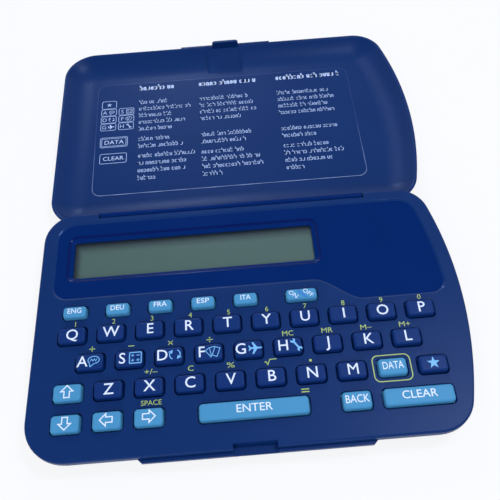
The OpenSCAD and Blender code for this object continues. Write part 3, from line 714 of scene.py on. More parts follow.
def cap(w, d):
    """A key's cap with its middle at the origin."""
    bm = bmesh.new()
    low = KEY_BOTTOM + KEY_LIP_H
    bmesh.ops.create_cube(bm, size=1)
    bmesh.ops.scale(bm, vec=(w, d, KEY_TOP - low), verts=bm.verts)
    bmesh.ops.translate(bm, vec=(0, 0, (KEY_TOP + low) / 2), verts=bm.verts)
    soften(bm, [e for e in bm.edges if length_along(e, 2) > ACROSS], KEY_R, CORNER_SEGMENTS)
    top = [v for v in bm.verts if v.co.z > FACE_Z]
    bmesh.ops.scale(bm, vec=(1 - 2 * KEY_DRAFT / w, 1 - 2 * KEY_DRAFT / d, 1), verts=top)
    rim = [e for e in bm.edges if all(v.co.z > FACE_Z for v in e.verts)]
    soften(bm, rim, KEY_SOFT, TOP_SEGMENTS)
    bm.normal_update()
    base = min(bm.faces, key=lambda face: face.calc_center_median().z)
    shelf = extruded(bm, base, size=(1 + 2 * KEY_LIP / w, 1 + 2 * KEY_LIP / d, 1), closed=False)
    extruded(bm, shelf, move=(0, 0, -KEY_LIP_H), closed=False)
    return bm


print("a cap has", len(cap(*places["key_q"][2:]).faces), "faces")

# %% [markdown]
# ## Pictograms
# The six keys of the middle row open the machine's menus, and each carries a small line drawing beside
# its letter: a speech bubble, a calculator, two arrows in a circle, a fan of cards, an aeroplane, and a
# wrench. A symbol font could supply them, but it may be missing on another machine, so each function
# draws one around x, y, in millimetres.

# %% Pictograms of the left three
LINE = 0.26
SIGN_LINE = 0.22
SCRIBBLE_LINE = 0.18


def bubble(bm, x, y, z):
    """Speech bubble with a line of scribble."""
    body = [(px, y + 0.3 + (py - y - 0.3) * 0.68) for px, py in arc(x, y + 0.3, 1.5, -82, 222, 20)]
    loop(bm, body + [(x - 0.9, y - 1.5)], SIGN_LINE, z)
    scribble = [(x - 0.9 + 0.36 * i, y + 0.3 + (0.3 if i % 2 else -0.3)) for i in range(6)]
    path(bm, scribble, SCRIBBLE_LINE, z)


def calculator(bm, x, y, z):
    """Square with the four signs."""
    loop(bm, rounded(x, y, 3.1, 3.0, 0.15, 1), LINE, z)
    for sx, sy in ((-0.7, 0.68), (0.7, 0.68), (-0.7, -0.68), (0.7, -0.68)):
        bar(bm, x + sx - 0.4, y + sy, x + sx + 0.4, y + sy, SIGN_LINE, z)
    bar(bm, x - 0.7, y + 0.3, x - 0.7, y + 1.06, SIGN_LINE, z)
    for sx in (-0.7, 0.7):
        for sy in (-0.98, -0.38):
            plate(bm, circle(x + sx, y + sy, 0.14, 8), z)


def two_arrows(bm, x, y, z):
    """Two arrows that chase each other around a circle."""
    for turn in (0, 180):
        path(bm, arc(x, y, 1.4, turn + 62, turn - 28, 9), LINE, z)
        head = ((1.4, -68), (1.95, -24), (0.8, -18))    # radius and angle of its corners
        plate(bm, [arc(x, y, r, turn + a, turn + a, 1)[0] for r, a in head], z)


print("drawn: bubble, calculator, two arrows")

# %% Pictograms of the right three, star and arrow
CARD_LINE = 0.2
ARROW_LINE = 0.3


def turned(points, angle, x, y):
    """Points turned about the origin by an angle in degrees, then moved to x, y."""
    spin = Matrix.Rotation(math.radians(angle), 2)
    return [tuple(spin @ Vector(point) + Vector((x, y))) for point in points]


def cards(bm, x, y, z):
    """Three playing cards in a fan."""
    card = [(-0.6, 0.3), (-0.6, 2.8), (0.75, 2.8), (0.75, 0.3)]
    for turn in (38, 10):
        path(bm, turned(card[:3], turn, x, y - 1.55), CARD_LINE, z)
    loop(bm, turned(card[::-1], -20, x, y - 1.55), CARD_LINE, z)


def aeroplane(bm, x, y, z):
    """Airliner seen from above, flying to the right."""
    half = [(1.9, 0), (1.55, 0.2), (0.55, 0.25), (-0.45, 1.65), (-0.85, 1.65), (-0.35, 0.25), (-1.1, 0.22),
            (-1.55, 0.75), (-1.8, 0.75), (-1.55, 0)]
    plate(bm, turned(half + [(px, -py) for px, py in half[-2:0:-1]], 0, x, y), z)


def wrench(bm, x, y, z):
    """Open-ended wrench, leaning."""
    end = [(0.24, 0.9), (0.7, 1.25), (0.62, 1.8), (0.3, 1.95), (0.3, 1.5), (-0.3, 1.5), (-0.3, 1.95),
           (-0.62, 1.8), (-0.7, 1.25), (-0.24, 0.9)]
    plate(bm, turned(end + [(-px, -py) for px, py in end], 35, x, y), z)


def star(bm, x, y, z, tips, notches, material=1):
    """Five-pointed star with the radii of its tips and notches."""
    points = [arc(x, y, notches if i % 2 else tips, 90 + 36 * i, 90, 1)[0] for i in range(10)]
    plate(bm, points, z, material)


def block_arrow(bm, x, y, z, turn):
    """Outlined arrow; turn 0 points up."""
    half = [(0, 1.75), (-1.55, 0.2), (-0.7, 0.2), (-0.7, -1.45)]
    loop(bm, turned(half + [(-px, py) for px, py in half[:0:-1]], turn, x, y), ARROW_LINE, z)


print("drawn: cards, aeroplane, wrench, star, block arrow")

# %% What each key carries
LETTER_CAP = 2.9
LETTER_UP = 0.1
LETTER_X_ALONE = 0.2
LETTER_WEIGHT = 0.02      # how much the strokes are thickened on each side
WORD_UP = 0.25
WORD_WEIGHT = 0.012
PICTOGRAMS = {"a": bubble, "s": calculator, "d": two_arrows, "f": cards, "g": aeroplane, "h": wrench}
ICON_X = {"a": 1.2, "s": 1.7, "d": 1.6, "f": 1.35, "g": 1.8, "h": 2.15}
LETTER_X = {"a": -1.8, "s": -1.8, "d": -1.75, "f": -1.9, "g": -2.0, "h": -1.3}
# Height of the capitals, and width of the word
WORDS = {"enter": (2.0, 9.1), "clear": (2.0, 8.9), "back": (2.0, 6.0), "data": (1.95, 5.4),
         "eng": (1.45, 3.8), "deu": (1.45, 3.7), "fra": (1.45, 3.6), "esp": (1.45, 3.4), "ita": (1.45, 2.8)}
ARROWS = {"up": 0, "left": 90, "down": 180, "right": 270}
STAR_R = (1.7, 0.68)
ARROW_UP = 0.1
POWER_CAP = 1.25
POWER_TURN = -40
POWER_WORDS = {"ON": (-2.2, -0.05), "OFF": (1.9, 0.15)}
POWER_STRIPE = [(-1.5, 1.25), (0.7, -1.25), (1.7, -1.25), (-0.5, 1.25)]
BLUE_KEYS = list(WORDS) + list(ARROWS) + ["on_off"]
print(len(BLUE_KEYS), "light keys,", len(places) - len(BLUE_KEYS), "dark ones")


# %% Print and make the keys
def print_key(bm, key):
    """Prints what a key carries, around the origin."""
    if key in WORDS:
        height, width = WORDS[key]
        letters(bm, key.upper(), height, 0, WORD_UP, KEY_TOP, width=width, weight=WORD_WEIGHT)
    elif key in ARROWS:
        block_arrow(bm, 0, ARROW_UP, KEY_TOP, ARROWS[key])
    elif key == "on_off":
        plate(bm, POWER_STRIPE, KEY_TOP - SUNK, 2)
        for word, spot in POWER_WORDS.items():
            letters(bm, word, POWER_CAP, *spot, KEY_TOP, angle=POWER_TURN)
    elif key == "star":
        star(bm, 0, 0, KEY_TOP, *STAR_R)
    else:
        weight = 0 if key == "m" else LETTER_WEIGHT     # a thicker M folds over itself
        x = LETTER_X.get(key, LETTER_X_ALONE)
        letters(bm, key.upper(), LETTER_CAP, x, LETTER_UP, KEY_TOP, weight=weight)
        if key in PICTOGRAMS:
            before = set(bm.faces)
            PICTOGRAMS[key](bm, ICON_X[key], 0, KEY_TOP)
            for face in set(bm.faces) - before:
                face.material_index = 2


for name, (x, y, w, d) in places.items():
    key = name.removeprefix("key_")
    bm = cap(w, d)
    print_key(bm, key)
    bmesh.ops.translate(bm, vec=(x, y, 0), verts=bm.verts)
    ink = sky_ink if key == "star" else white_ink
    blue = key in BLUE_KEYS
    piece(bm, f"cap_{key}", name, [blue_coat if blue else navy_coat, ink, shade_ink if blue else sky_ink],
          [name])
print("made", len(places), "keys")

# %% [markdown]
# ## Legends on the face
# The second function of a key is printed above it in lime: the digits over the top row, the signs of
# the calculator over the other rows, and a line around the DATA key. The plain signs are drawn with
# strokes instead of letters, so that all of them have one weight and lie around one line.

# %% Signs and their places
LEGEND_CAP = 1.45
LEGEND_Y = {"top": 0.05, "middle": -7.7, "low": -15.4}      # y of each row
DIGIT_RIGHT = 0.55      # how far a legend stands right of its key's middle
SIGN_RIGHT = 0.3
ROOT_RIGHT = 0.2
DOT_R = 0.19
DOT_CORNERS = 12
# Strokes of the plain signs: x and y of both ends, around the sign's middle
SIGNS = {"a": [(-0.8, 0, 0.8, 0), (0, -0.75, 0, 0.75)], "s": [(-0.8, 0, 0.8, 0)], "f": [(-0.85, 0, 0.85, 0)],
         "d": [(-0.6, -0.55, 0.6, 0.55), (-0.6, 0.55, 0.6, -0.55)]}
SIGN_DOTS = (-0.55, 0.55)
ROOT = [(-1.5, -0.05), (-1.15, 0.15), (-0.7, -0.75), (-0.1, 0.7), (1.7, 0.7)]
POINT_DOWN = 0.5
# Signs in letters: row, what they say, and the width they are fitted to
WRITTEN = {"h": ("middle", "MC", 3.0), "j": ("middle", "MR", 3.0), "k": ("middle", "M\u2013", 3.0),
           "l": ("middle", "M+", 3.0), "x": ("low", "+/\u2013", 3.4), "c": ("low", "C", 1.5),
           "v": ("low", "%", 2.1)}
SPACE_AT = (-26.8, -23.8)
SPACE_CAP = 1.3
EQUALS_X = (11.6, 13.6)         # both ends of its strokes
EQUALS_Y = (-24.25, -23.55)     # both strokes
EQUALS_LINE = 0.3
FRAME_W = 2.2           # how much larger than the DATA key the line around it is
FRAME_D = 2.3
FRAME_R = 1.5
FRAME_LINE = 0.27
print("signs:", len(SIGNS) + len(WRITTEN), "besides the digits, the root, the point and the equals sign")

# %% Print the face
legend = bmesh.new()
for i, digit in enumerate("1234567890"):
    x = places["key_" + "qwertyuiop"[i]][0] + DIGIT_RIGHT
    letters(legend, digit, LEGEND_CAP, x, LEGEND_Y["top"], FACE_Z, 0)
for key, (row, sign, width) in WRITTEN.items():
    x = places["key_" + key][0] + SIGN_RIGHT
    letters(legend, sign, LEGEND_CAP, x, LEGEND_Y[row], FACE_Z, 0, width=width)
for key, strokes in SIGNS.items():
    x = places["key_" + key][0] + SIGN_RIGHT
    for x0, y0, x1, y1 in strokes:
        bar(legend, x + x0, LEGEND_Y["middle"] + y0, x + x1, LEGEND_Y["middle"] + y1, SIGN_LINE, FACE_Z, 0)
dots = [(places["key_f"][0] + SIGN_RIGHT, LEGEND_Y["middle"] + rise, DOT_R) for rise in SIGN_DOTS]
dots.append((places["key_n"][0] + ROOT_RIGHT, LEGEND_Y["low"] - POINT_DOWN, 2 * DOT_R))
for dot in dots:
    plate(legend, circle(*dot, DOT_CORNERS), FACE_Z, 0)
root_x = places["key_b"][0] + ROOT_RIGHT
path(legend, [(root_x + px, LEGEND_Y["low"] + py) for px, py in ROOT], SIGN_LINE, FACE_Z, 0)
letters(legend, "SPACE", SPACE_CAP, *SPACE_AT, FACE_Z, 0)
for y in EQUALS_Y:
    bar(legend, EQUALS_X[0], y, EQUALS_X[1], y, EQUALS_LINE, FACE_Z, 0)
data_x, data_y, data_w, data_d = places["key_data"]
loop(legend, rounded(data_x, data_y, data_w + FRAME_W, data_d + FRAME_D, FRAME_R), FRAME_LINE, FACE_Z, 0)
face_print = piece(legend, "face_print", "base", [lime_ink])
print("legends:", len(face_print.data.polygons), "faces")

# %% [markdown]
# ## Lid
# The lid is a shallow tray with the case's outline, turned over about the hinge. Outside, a quarter
# ellipse runs from the flat floor up to the rim. Inside, an arc of a circle makes a gentle cove, so that the
# rim looks thin. A solid could be hollowed out with a Boolean, but rings keep both curves exact and the wall
# as thick as it should be everywhere. Latch tongue and thumb lip are plain blocks with softened edges, and
# the barrel is its side view, drawn out along the hinge.

# %% Lid shell
LID_H = PART_Z - HINGE_GAP
LID_FLOOR = 1.3
DISH_W = 9          # width of the curved border
DISH_STEPS = 14
RIM_R = 0.25        # outer rounding of the rim
RIM_INNER_R = 0.8   # inner rounding of the rim
RIM_BLEND = 0.35    # share of the inner rounding that is left before the cove takes over


def lid_outline(inset):
    """The case's outline turned over about the hinge."""
    return [(x, 2 * AXIS_Y - y) for x, y in reversed(outline(inset))]


def dish(inset, floor, rim):
    """(inset, height) pairs of a quarter ellipse from the floor up to the rim."""
    turns = [math.radians(90 - 90 * i / DISH_STEPS) for i in range(DISH_STEPS + 1)]
    return [(inset + DISH_W * (1 - math.cos(t)), floor + (rim - floor) * (1 - math.sin(t))) for t in turns]


def cove(inset, floor, rim):
    """(inset, height) pairs of an arc that lies flat on the floor and climbs to the rim."""
    rise = rim - floor
    r = (DISH_W ** 2 + rise ** 2) / (2 * rise)
    steep = math.asin(DISH_W / r)
    turns = [steep * i / DISH_STEPS for i in range(DISH_STEPS + 1)]
    return [(inset + DISH_W - r * math.sin(t), floor + r * (1 - math.cos(t))) for t in turns]


lid = bmesh.new()
side = round_edge(RIM_R, LID_H)
profile = dish(0, 0, LID_H - RIM_R) + side[::-1][1:]
inner_edge = [(WALL - offset, z) for offset, z in round_edge(RIM_INNER_R, LID_H)]
inner_edge = [(inset, z) for inset, z in inner_edge if z > LID_H - RIM_INNER_R * RIM_BLEND]
profile += inner_edge + cove(inner_edge[-1][0], LID_FLOOR, inner_edge[-1][1])[::-1][1:]
shell = [ring(lid, lid_outline(inset), z) for inset, z in profile]
skin(lid, shell)
fill(lid, shell[0])
fill(lid, shell[-1])
print("lid shell:", len(lid.faces), "faces, rim at", round(LID_H, 2), "mm")


# %% Barrel, tongue and lips
def block(bm, low, high, soft=0, upright=None):
    """A box between two corners with softened edges; upright is the radius of its edges along Y."""
    made = bmesh.ops.create_cube(bm, size=1)["verts"]
    size, middle = Vector(high) - Vector(low), (Vector(high) + Vector(low)) / 2
    bmesh.ops.scale(bm, vec=size, verts=made)
    bmesh.ops.translate(bm, vec=middle, verts=made)
    edges = list({edge for vert in made for edge in vert.link_edges})
    if upright:
        along = [e for e in edges if length_along(e, 1) > ACROSS and e.verts[0].co.z > middle.z]
        soften(bm, along, upright, TONGUE_SEGMENTS)
    else:
        soften(bm, edges, soft, LIP_SEGMENTS)


TONGUE_SEGMENTS = 5
LIP_SEGMENTS = 2
BARREL_X0 = SLOT_X0 + HINGE_GAP
BARREL_X1 = SLOT_X1 - HINGE_GAP
BARREL_STEPS = 16
WEB_ROOT = 0.8      # the web below the barrel starts this far below the rim
LATCH_W = 9.4
LATCH_T = 0.9
LATCH_H = 2.4       # above the rim
LATCH_PLAY = 0.3    # how far the tongue stands behind the front edge
LATCH_ROOT = 1      # how far it reaches down into the rim
LATCH_CORNER_R = 1.1
LID_LIP_W = 32.3
LID_LIP_OUT = 0.6
LID_LIP_H = 1
LID_LIP_SOFT = 0.2
lid_front = 2 * AXIS_Y - FRONT_Y

half_round = arc(AXIS_Y, AXIS_Z, BEAD_R, 0, 180, BARREL_STEPS)
web_z = LID_H - WEB_ROOT
barrel_side = [(AXIS_Y + BEAD_R, web_z)] + half_round + [(AXIS_Y - BEAD_R, web_z)]
lid_faces = set(lid.faces)
end = lid.faces.new([lid.verts.new((BARREL_X0, y, z)) for y, z in barrel_side])
extruded(lid, end, move=(BARREL_X1 - BARREL_X0, 0, 0))
for face in set(lid.faces) - lid_faces:
    face.material_index = PANEL     # the barrel is as smooth as the panel
tongue_y = lid_front - LATCH_PLAY
block(lid, (LATCH_X - LATCH_W / 2, tongue_y - LATCH_T, LID_H - LATCH_ROOT),
      (LATCH_X + LATCH_W / 2, tongue_y, LID_H + LATCH_H), upright=LATCH_CORNER_R)
block(lid, (LATCH_X - LID_LIP_W / 2, lid_front - WALL / 2, LID_H - LID_LIP_H),
      (LATCH_X + LID_LIP_W / 2, lid_front + LID_LIP_OUT, LID_H), LID_LIP_SOFT)
print(f"barrel {BARREL_X1 - BARREL_X0:.1f} mm long, tongue {LATCH_W:.1f} mm wide")

# %% Pad behind the latch
# A flatter pad with a low rib along each side stiffens the edge that carries the tongue. Both run out in
# the cove at their ends.
PAD_W = 12.4
PAD_LEFT = 0.7      # how far the pad's middle lies left of the tongue's
PAD_FLAT = 0.3      # how much flatter than the cove: 0 as the cove, 1 a straight slope
PAD_DEEP = 0.5
RIB_T = 0.5
RIB_FLAT = 0.75
cove_line = cove(inner_edge[-1][0], LID_FLOOR, inner_edge[-1][1])
cove_rise = cove_line[-1][1] - LID_FLOOR


def wedge(bm, x, w, flat, material=CASE):
    """A strip across the cove that is flatter than it."""
    (foot, _), (rim, _) = cove_line[0], cove_line[-1]
    slope = [LID_FLOOR + cove_rise * (foot - inset) / (foot - rim) for inset, _ in cove_line]
    top = [(inset, z + (straight - z) * flat) for (inset, z), straight in zip(cove_line, slope)]
    root = [(inset, z - PAD_DEEP) for inset, z in cove_line]
    cheek = bm.faces.new([bm.verts.new((x - w / 2, lid_front - inset, z)) for inset, z in top + root[::-1]])
    cheek.material_index = material
    extruded(bm, cheek, move=(w, 0, 0))


pad_x = LATCH_X - PAD_LEFT
wedge(lid, pad_x, PAD_W, PAD_FLAT)
for hand in (-1, 1):
    wedge(lid, pad_x + hand * (PAD_W - RIB_T) / 2, RIB_T, RIB_FLAT, EDGE)
lid_piece = piece(lid, "lid_shell", "lid", shell_finish[:STEP], ["lid"])
print("lid:", len(lid_piece.data.polygons), "faces")

# %% [markdown]
# ## Key guide film
# A sheet of printed polyester is stuck to the lid's floor. It is almost the lid's colour, but
# smoother. Its cut edge is a little paler, and a painted highlight lies on it in short stretches, most
# near the hinge. Its lines of guidance are shown in a made-up alphabet of bowls, hooks, arches and cups,
# beside small drawings of the keys that they explain. An image could carry the print, but nobody needs to
# read these words, so twelve letters are modelled once and copied along the lines.

# %% Size and finish of the film
film_low, film_high = box("guide_label")
FILM_Z = film_high.z
film_x, film_y = (film_low.x + film_high.x) / 2, (film_low.y + film_high.y) / 2
film_w, film_d = film_high.x - film_low.x, film_high.y - film_low.y

HAZE_MM = 30        # slow drift of its tone
RIPPLE_MM = 1.2     # faint waves of a sheet that is glued down
RIPPLE_DEPTH = 0.01
GLINT_MM = 6        # painted highlight on the cut edge, in short stretches and most near the hinge
film_mat = finish("printed_polyester_film", ("#13305f", "#1a386a"), HAZE_MM, (0.3, 0.42),
                  (RIPPLE_MM, RIPPLE_DEPTH, 0.15, 2.0), IOR=1.6, Specular_IOR_Level=0.05)
film_edge, edge_shader, edge_where = surface("cut_film_edge_with_painted_highlight", Roughness=0.35)
# Painted highlight: the edge's colour turns from navy to pale towards the hinge, in stretches that a noise
# breaks up
edge_y = add(film_edge, "ShaderNodeSeparateXYZ", {"Vector": edge_where}).outputs["Y"]
pale = add(film_edge, "ShaderNodeMapRange", {"Value": edge_y, "From Min": film_low.y * MM,
                                             "From Max": film_y * MM, "To Min": 1, "To Max": 0})
stretches = add(film_edge, "ShaderNodeTexNoise",
                {"Vector": edge_where, "Scale": 1 / (GLINT_MM * MM)})
glint = add(film_edge, "ShaderNodeMapRange", {"Value": stretches, "From Min": 0.4, "From Max": 0.6,
                                              "To Min": 0.35, "To Max": 0.65})
lit = add(film_edge, "ShaderNodeMath", {0: pale, 1: glint}, operation="MULTIPLY")
tone = add(film_edge, "ShaderNodeMix", {"Factor": lit, MIX_A: "#1f3c78", MIX_B: "#c8d6f0"}, data_type="RGBA")
plug(film_edge, edge_shader, {"Base Color": tone})
print("film:", round(film_w, 1), "x", round(film_d, 1), "mm")

# %% Film
FILM_R = 3
FILM_EDGE = 0.16    # width of the pale line
FILM_SOFT = 0.03


def film_outline(inset):
    """The film's outline moved inwards."""
    return rounded(film_x, film_y, film_w - 2 * inset, film_d - 2 * inset, FILM_R - inset, 10)


film = bmesh.new()
levels = [(0, film_low.z), (0, FILM_Z - FILM_SOFT), (FILM_SOFT, FILM_Z)]
film_sides = [ring(film, film_outline(inset), z) for inset, z in levels]
skin(film, film_sides, 1)
film_top = ring(film, film_outline(FILM_EDGE), FILM_Z)
skin(film, [film_sides[-1], film_top], 1)
fill(film, film_top, 0)
fill(film, film_sides[0], 0)
film_piece = piece(film, "guide_film", "lid", [film_mat, film_edge], ["guide_label"])
print("film:", len(film_piece.data.polygons), "faces")

# %% A made-up alphabet
LOWER = 1.3         # height of a short letter
TALL = 1.9          # height of a tall one
GLYPH_W = 0.84
STROKE = 0.25
BOLD = 0.36
STEM_SHARE = 0.98   # a stem is a little thinner than a bowl, so that their sides don't coincide


def oval(x, y, w, h, start, end, steps):
    """Points on an ellipse, angles in degrees."""
    return [(x + px * w, y + py * h) for px, py in arc(0, 0, 0.5, start, end, steps)]


def glyph(kind, stem, stroke, ink):
    """Mesh of one letter, from its lower left corner: a bowl, hook, arch or cup, and maybe a stem."""
    bm = bmesh.new()
    half = stroke / 2
    left, right, middle, w = half, GLYPH_W - half, GLYPH_W / 2, GLYPH_W - stroke
    if kind == "bowl":
        loop(bm, oval(middle, LOWER / 2, w, LOWER - stroke, 0, 330, 11), stroke, FILM_Z, ink)
    elif kind == "hook":
        path(bm, oval(middle, LOWER / 2, w, LOWER - stroke, 50, 310, 9), stroke, FILM_Z, ink)
    elif kind == "arch":
        turn = oval(middle, LOWER - half - w / 2, w, w, 0, 180, 8)
        path(bm, [(right, 0)] + turn + [(left, 0)], stroke, FILM_Z, ink)
    else:
        turn = oval(middle, half + w / 2, w, w, 180, 360, 8)
        path(bm, [(left, LOWER)] + turn + [(right, LOWER)], stroke, FILM_Z, ink)
    if stem:
        bar(bm, left, 0, left, stem, stroke * STEM_SHARE, FILM_Z, ink)
    return as_mesh(bm, "glyph")


def alphabet(stroke, ink):
    """Twelve letters."""
    kinds = ("bowl", "hook", "arch", "cup")
    return [glyph(kind, stem, stroke, ink) for kind in kinds for stem in (0, LOWER, TALL)]


THIN_INK, FULL_INK = 0, 1
plain_letters, bold_letters = alphabet(STROKE, THIN_INK), alphabet(BOLD, FULL_INK)
print("letters:", len(plain_letters))

# %% Lines of stand-in words
WORD_SEED = 7
WORD_MIN = 2
WORD_MAX = 9
LINE_STEP = 3.12    # from one line to the next
GLYPH_STEP = 1.0    # from one letter to the next
WORD_GAP = 0.6      # in letters
HEADING_SCALE = 1.3
random.seed(WORD_SEED)
guide = bmesh.new()


def words(bm, letter_set, x, y, length, scale=1.0):
    """A line of words, up to about the given length."""
    end, step = x + length, GLYPH_STEP * scale
    while x < end - step:
        for _ in range(random.randint(WORD_MIN, WORD_MAX)):
            if x > end - step:
                break
            spot = Matrix.Translation((x, y, 0)) @ Matrix.Diagonal((scale, scale, 1, 1))
            mesh = random.choice(letter_set)
            mesh.transform(spot)
            bm.from_mesh(mesh)
            mesh.transform(spot.inverted())
            x += step
        x += step * WORD_GAP


# Each heading: left edge and length. Each paragraph: left edge, baseline of its first line, and lengths
HEADINGS = [(-32.8, 12.6), (-11.6, 21.4), (16.0, 23.4)]
HEADING_Y = 93.8
PARAGRAPHS = [
    (-32.9, 87.2, (10.5, 18.5, 12.5, 16.5, 12.5)), (-32.9, 70.1, (11, 15.5)),
    (-32.9, 62.7, (20, 17.5, 16.8, 7.5)),
    (-11.6, 86.7, (17.8, 19.8, 20, 14.5)), (-11.6, 69.9, (17.3, 15.4)), (-11.6, 62.3, (15, 20, 20.5, 7.2)),
    (15.8, 86.6, (18.2, 20, 18, 20.6)), (15.8, 69.8, (20.6, 12)), (15.8, 62.2, (16, 20.7, 16, 7)),
]
for x, length in HEADINGS:
    words(guide, bold_letters, x, HEADING_Y, length, HEADING_SCALE)
for x, y, lengths in PARAGRAPHS:
    for i, length in enumerate(lengths):
        words(guide, plain_letters, x, y - i * LINE_STEP, length)
print("text:", len(HEADINGS), "headings,", len(PARAGRAPHS), "paragraphs")

# %% Small drawings of keys
KEY_BOX_R = 0.6
KEY_BOX_LINE = 0.2
KEY_BOX_IN = 1.0        # how much smaller the second line of a double box is
SKETCH_SCALE = 0.62
# Middle, width and depth of the boxes
STAR_BOX = (-43.4, 87.8, 5.0, 3.6)
DATA_BOX = (-41.2, 70.4, 9.2, 4.3)
CLEAR_BOX = (-41.2, 63.3, 8.9, 4.1)
MENU_X = (-43.4, -37.3)
MENU_Y = (84.2, 80.8, 77.4)
MENU_BOX = (5.2, 3.1)
MENU_CAP = 1.6
MENU_LETTER = -1.4      # from the box's middle
MENU_SKETCH = 1.0
BOX_CAPS = {"DATA": 1.7, "CLEAR": 1.6}
SMALL_STAR_R = (0.95, 0.4)


def sketch(bm, key, x, y):
    """A key's pictogram, drawn small on the film."""
    small = bmesh.new()
    PICTOGRAMS[key](small, 0, 0, 0)
    for face in small.faces:
        face.material_index = FULL_INK
    bmesh.ops.scale(small, vec=(SKETCH_SCALE, SKETCH_SCALE, 1), verts=small.verts)
    bmesh.ops.translate(small, vec=(x, y, FILM_Z), verts=small.verts)
    mesh = as_mesh(small, "sketch")
    bm.from_mesh(mesh)
    bpy.data.meshes.remove(mesh)


def key_box(bm, x, y, w, d, double=False):
    """Rounded outline of a key."""
    loop(bm, rounded(x, y, w, d, KEY_BOX_R, 4), KEY_BOX_LINE, FILM_Z, 0)
    if double:
        loop(bm, rounded(x, y, w - KEY_BOX_IN, d - KEY_BOX_IN, KEY_BOX_R / 2, 4), KEY_BOX_LINE, FILM_Z, 0)


key_box(guide, *STAR_BOX)
star(guide, *STAR_BOX[:2], FILM_Z, *SMALL_STAR_R, THIN_INK)
for column, x in zip(("adg", "sfh"), MENU_X):
    for key, y in zip(column, MENU_Y):
        key_box(guide, x, y, *MENU_BOX)
        letters(guide, key.upper(), MENU_CAP, x + MENU_LETTER, y, FILM_Z, THIN_INK)
        sketch(guide, key, x + MENU_SKETCH, y)
key_box(guide, *DATA_BOX, double=True)
key_box(guide, *CLEAR_BOX)
for (word, height), spot in zip(BOX_CAPS.items(), (DATA_BOX, CLEAR_BOX)):
    letters(guide, word, height, *spot[:2], FILM_Z, FULL_INK)
guide_print = piece(guide, "guide_print", "lid", [film_ink, heading_ink])
print("film print:", len(guide_print.data.polygons), "faces")

# %% [markdown]
# ## Display
# A clear acrylic window closes the recess. Below it lies the glass of the display: a greenish
# grey reflector behind two polarisers, blank while the machine is off, with the faint grid of its dots. The
# frame's shade on the glass could be left to the lamps, but they are too soft to draw it, so the material
# holds it.

# %% Window
TINT_MM = 20
WIPE_MM = 8         # patches left by wiping it
acrylic, acrylic_shader, acrylic_where = surface("clear_acrylic", IOR=1.49, Alpha=0.03,
                                                 Specular_IOR_Level=0.2)
tint = add(acrylic, "ShaderNodeTexNoise",
           {"Vector": acrylic_where, "Scale": 1 / (TINT_MM * MM)})
wiped = add(acrylic, "ShaderNodeTexNoise",
            {"Vector": acrylic_where, "Scale": 1 / (WIPE_MM * MM)})
plug(acrylic, acrylic_shader, {
    "Base Color": add(acrylic, "ShaderNodeMix", {"Factor": tint, MIX_A: "#8d9894", MIX_B: "#9aa5a1"},
                      data_type="RGBA"),
    "Roughness": add(acrylic, "ShaderNodeMapRange", {"Value": wiped, "To Min": 0.04, "To Max": 0.1}),
})
print("window:", acrylic.name)

# %% Glass of the display
DOT_MM = 0.55           # from one dot to the next
DRIFT_MM = 25           # slow drift of the reflector's tone
SHADE_FULL_MM = 0.4     # the glass lies deep, so the frame shades its left and back edges
SHADE_SIDE_MM = 2
SHADE_BACK_MM = 3.4
SHADE_BLEND = 0.3       # how softly the two shades meet in the corner
glass, glass_shader, glass_where = surface("liquid_crystal_glass", IOR=1.5)
dots = add(glass, "ShaderNodeTexBrick",
           {"Vector": glass_where, "Scale": 1 / (DOT_MM * MM), "Mortar Size": 0.06, "Brick Width": 1.0,
            "Row Height": 1.0}, offset=0.0)
grid = add(glass, "ShaderNodeMapRange", {"Value": dots.outputs["Fac"], "To Max": 0.25})
cells = add(glass, "ShaderNodeMix", {"Factor": grid, MIX_A: "#506959", MIX_B: "#496153"}, data_type="RGBA")
drift = add(glass, "ShaderNodeTexNoise", {"Vector": glass_where, "Scale": 1 / (DRIFT_MM * MM)})
half = add(glass, "ShaderNodeMapRange", {"Value": drift, "To Max": 0.5})
reflector = add(glass, "ShaderNodeMix", {"Factor": half, MIX_A: cells, MIX_B: "#435b4d"}, data_type="RGBA")
spot = add(glass, "ShaderNodeSeparateXYZ", {"Vector": glass_where})
view_left, view_back = VIEW_X - VIEW_W / 2, VIEW_Y + VIEW_D / 2
from_left = add(glass, "ShaderNodeMapRange", {
    "Value": spot.outputs["X"], "From Min": (view_left + SHADE_FULL_MM) * MM,
    "From Max": (view_left + SHADE_SIDE_MM) * MM, "To Min": 1, "To Max": 0})
from_back = add(glass, "ShaderNodeMapRange", {
    "Value": spot.outputs["Y"], "From Min": (view_back - SHADE_BACK_MM) * MM,
    "From Max": (view_back - SHADE_FULL_MM) * MM})
shade = add(glass, "ShaderNodeMath", {0: from_left, 1: from_back, 2: SHADE_BLEND}, operation="SMOOTH_MAX")
plug(glass, glass_shader, {
    "Base Color": add(glass, "ShaderNodeMix", {"Factor": shade, MIX_A: reflector, MIX_B: "#0c1f26"},
                      data_type="RGBA"),
    "Roughness": add(glass, "ShaderNodeMapRange", {"Value": drift, "To Min": 0.3, "To Max": 0.4}),
})
print(f"display: dots of {DOT_MM} mm")

# %% [markdown]
# ## Materials of the parts inside
# Nothing of this shows on a closed machine, but it does when the part is taken apart: a fibreglass board
# under green lacquer, chips under a drop of black resin, a rubber keypad, the striped connector of the
# display, steel screws and pins, the nickel-plated cell and its bronze contacts.

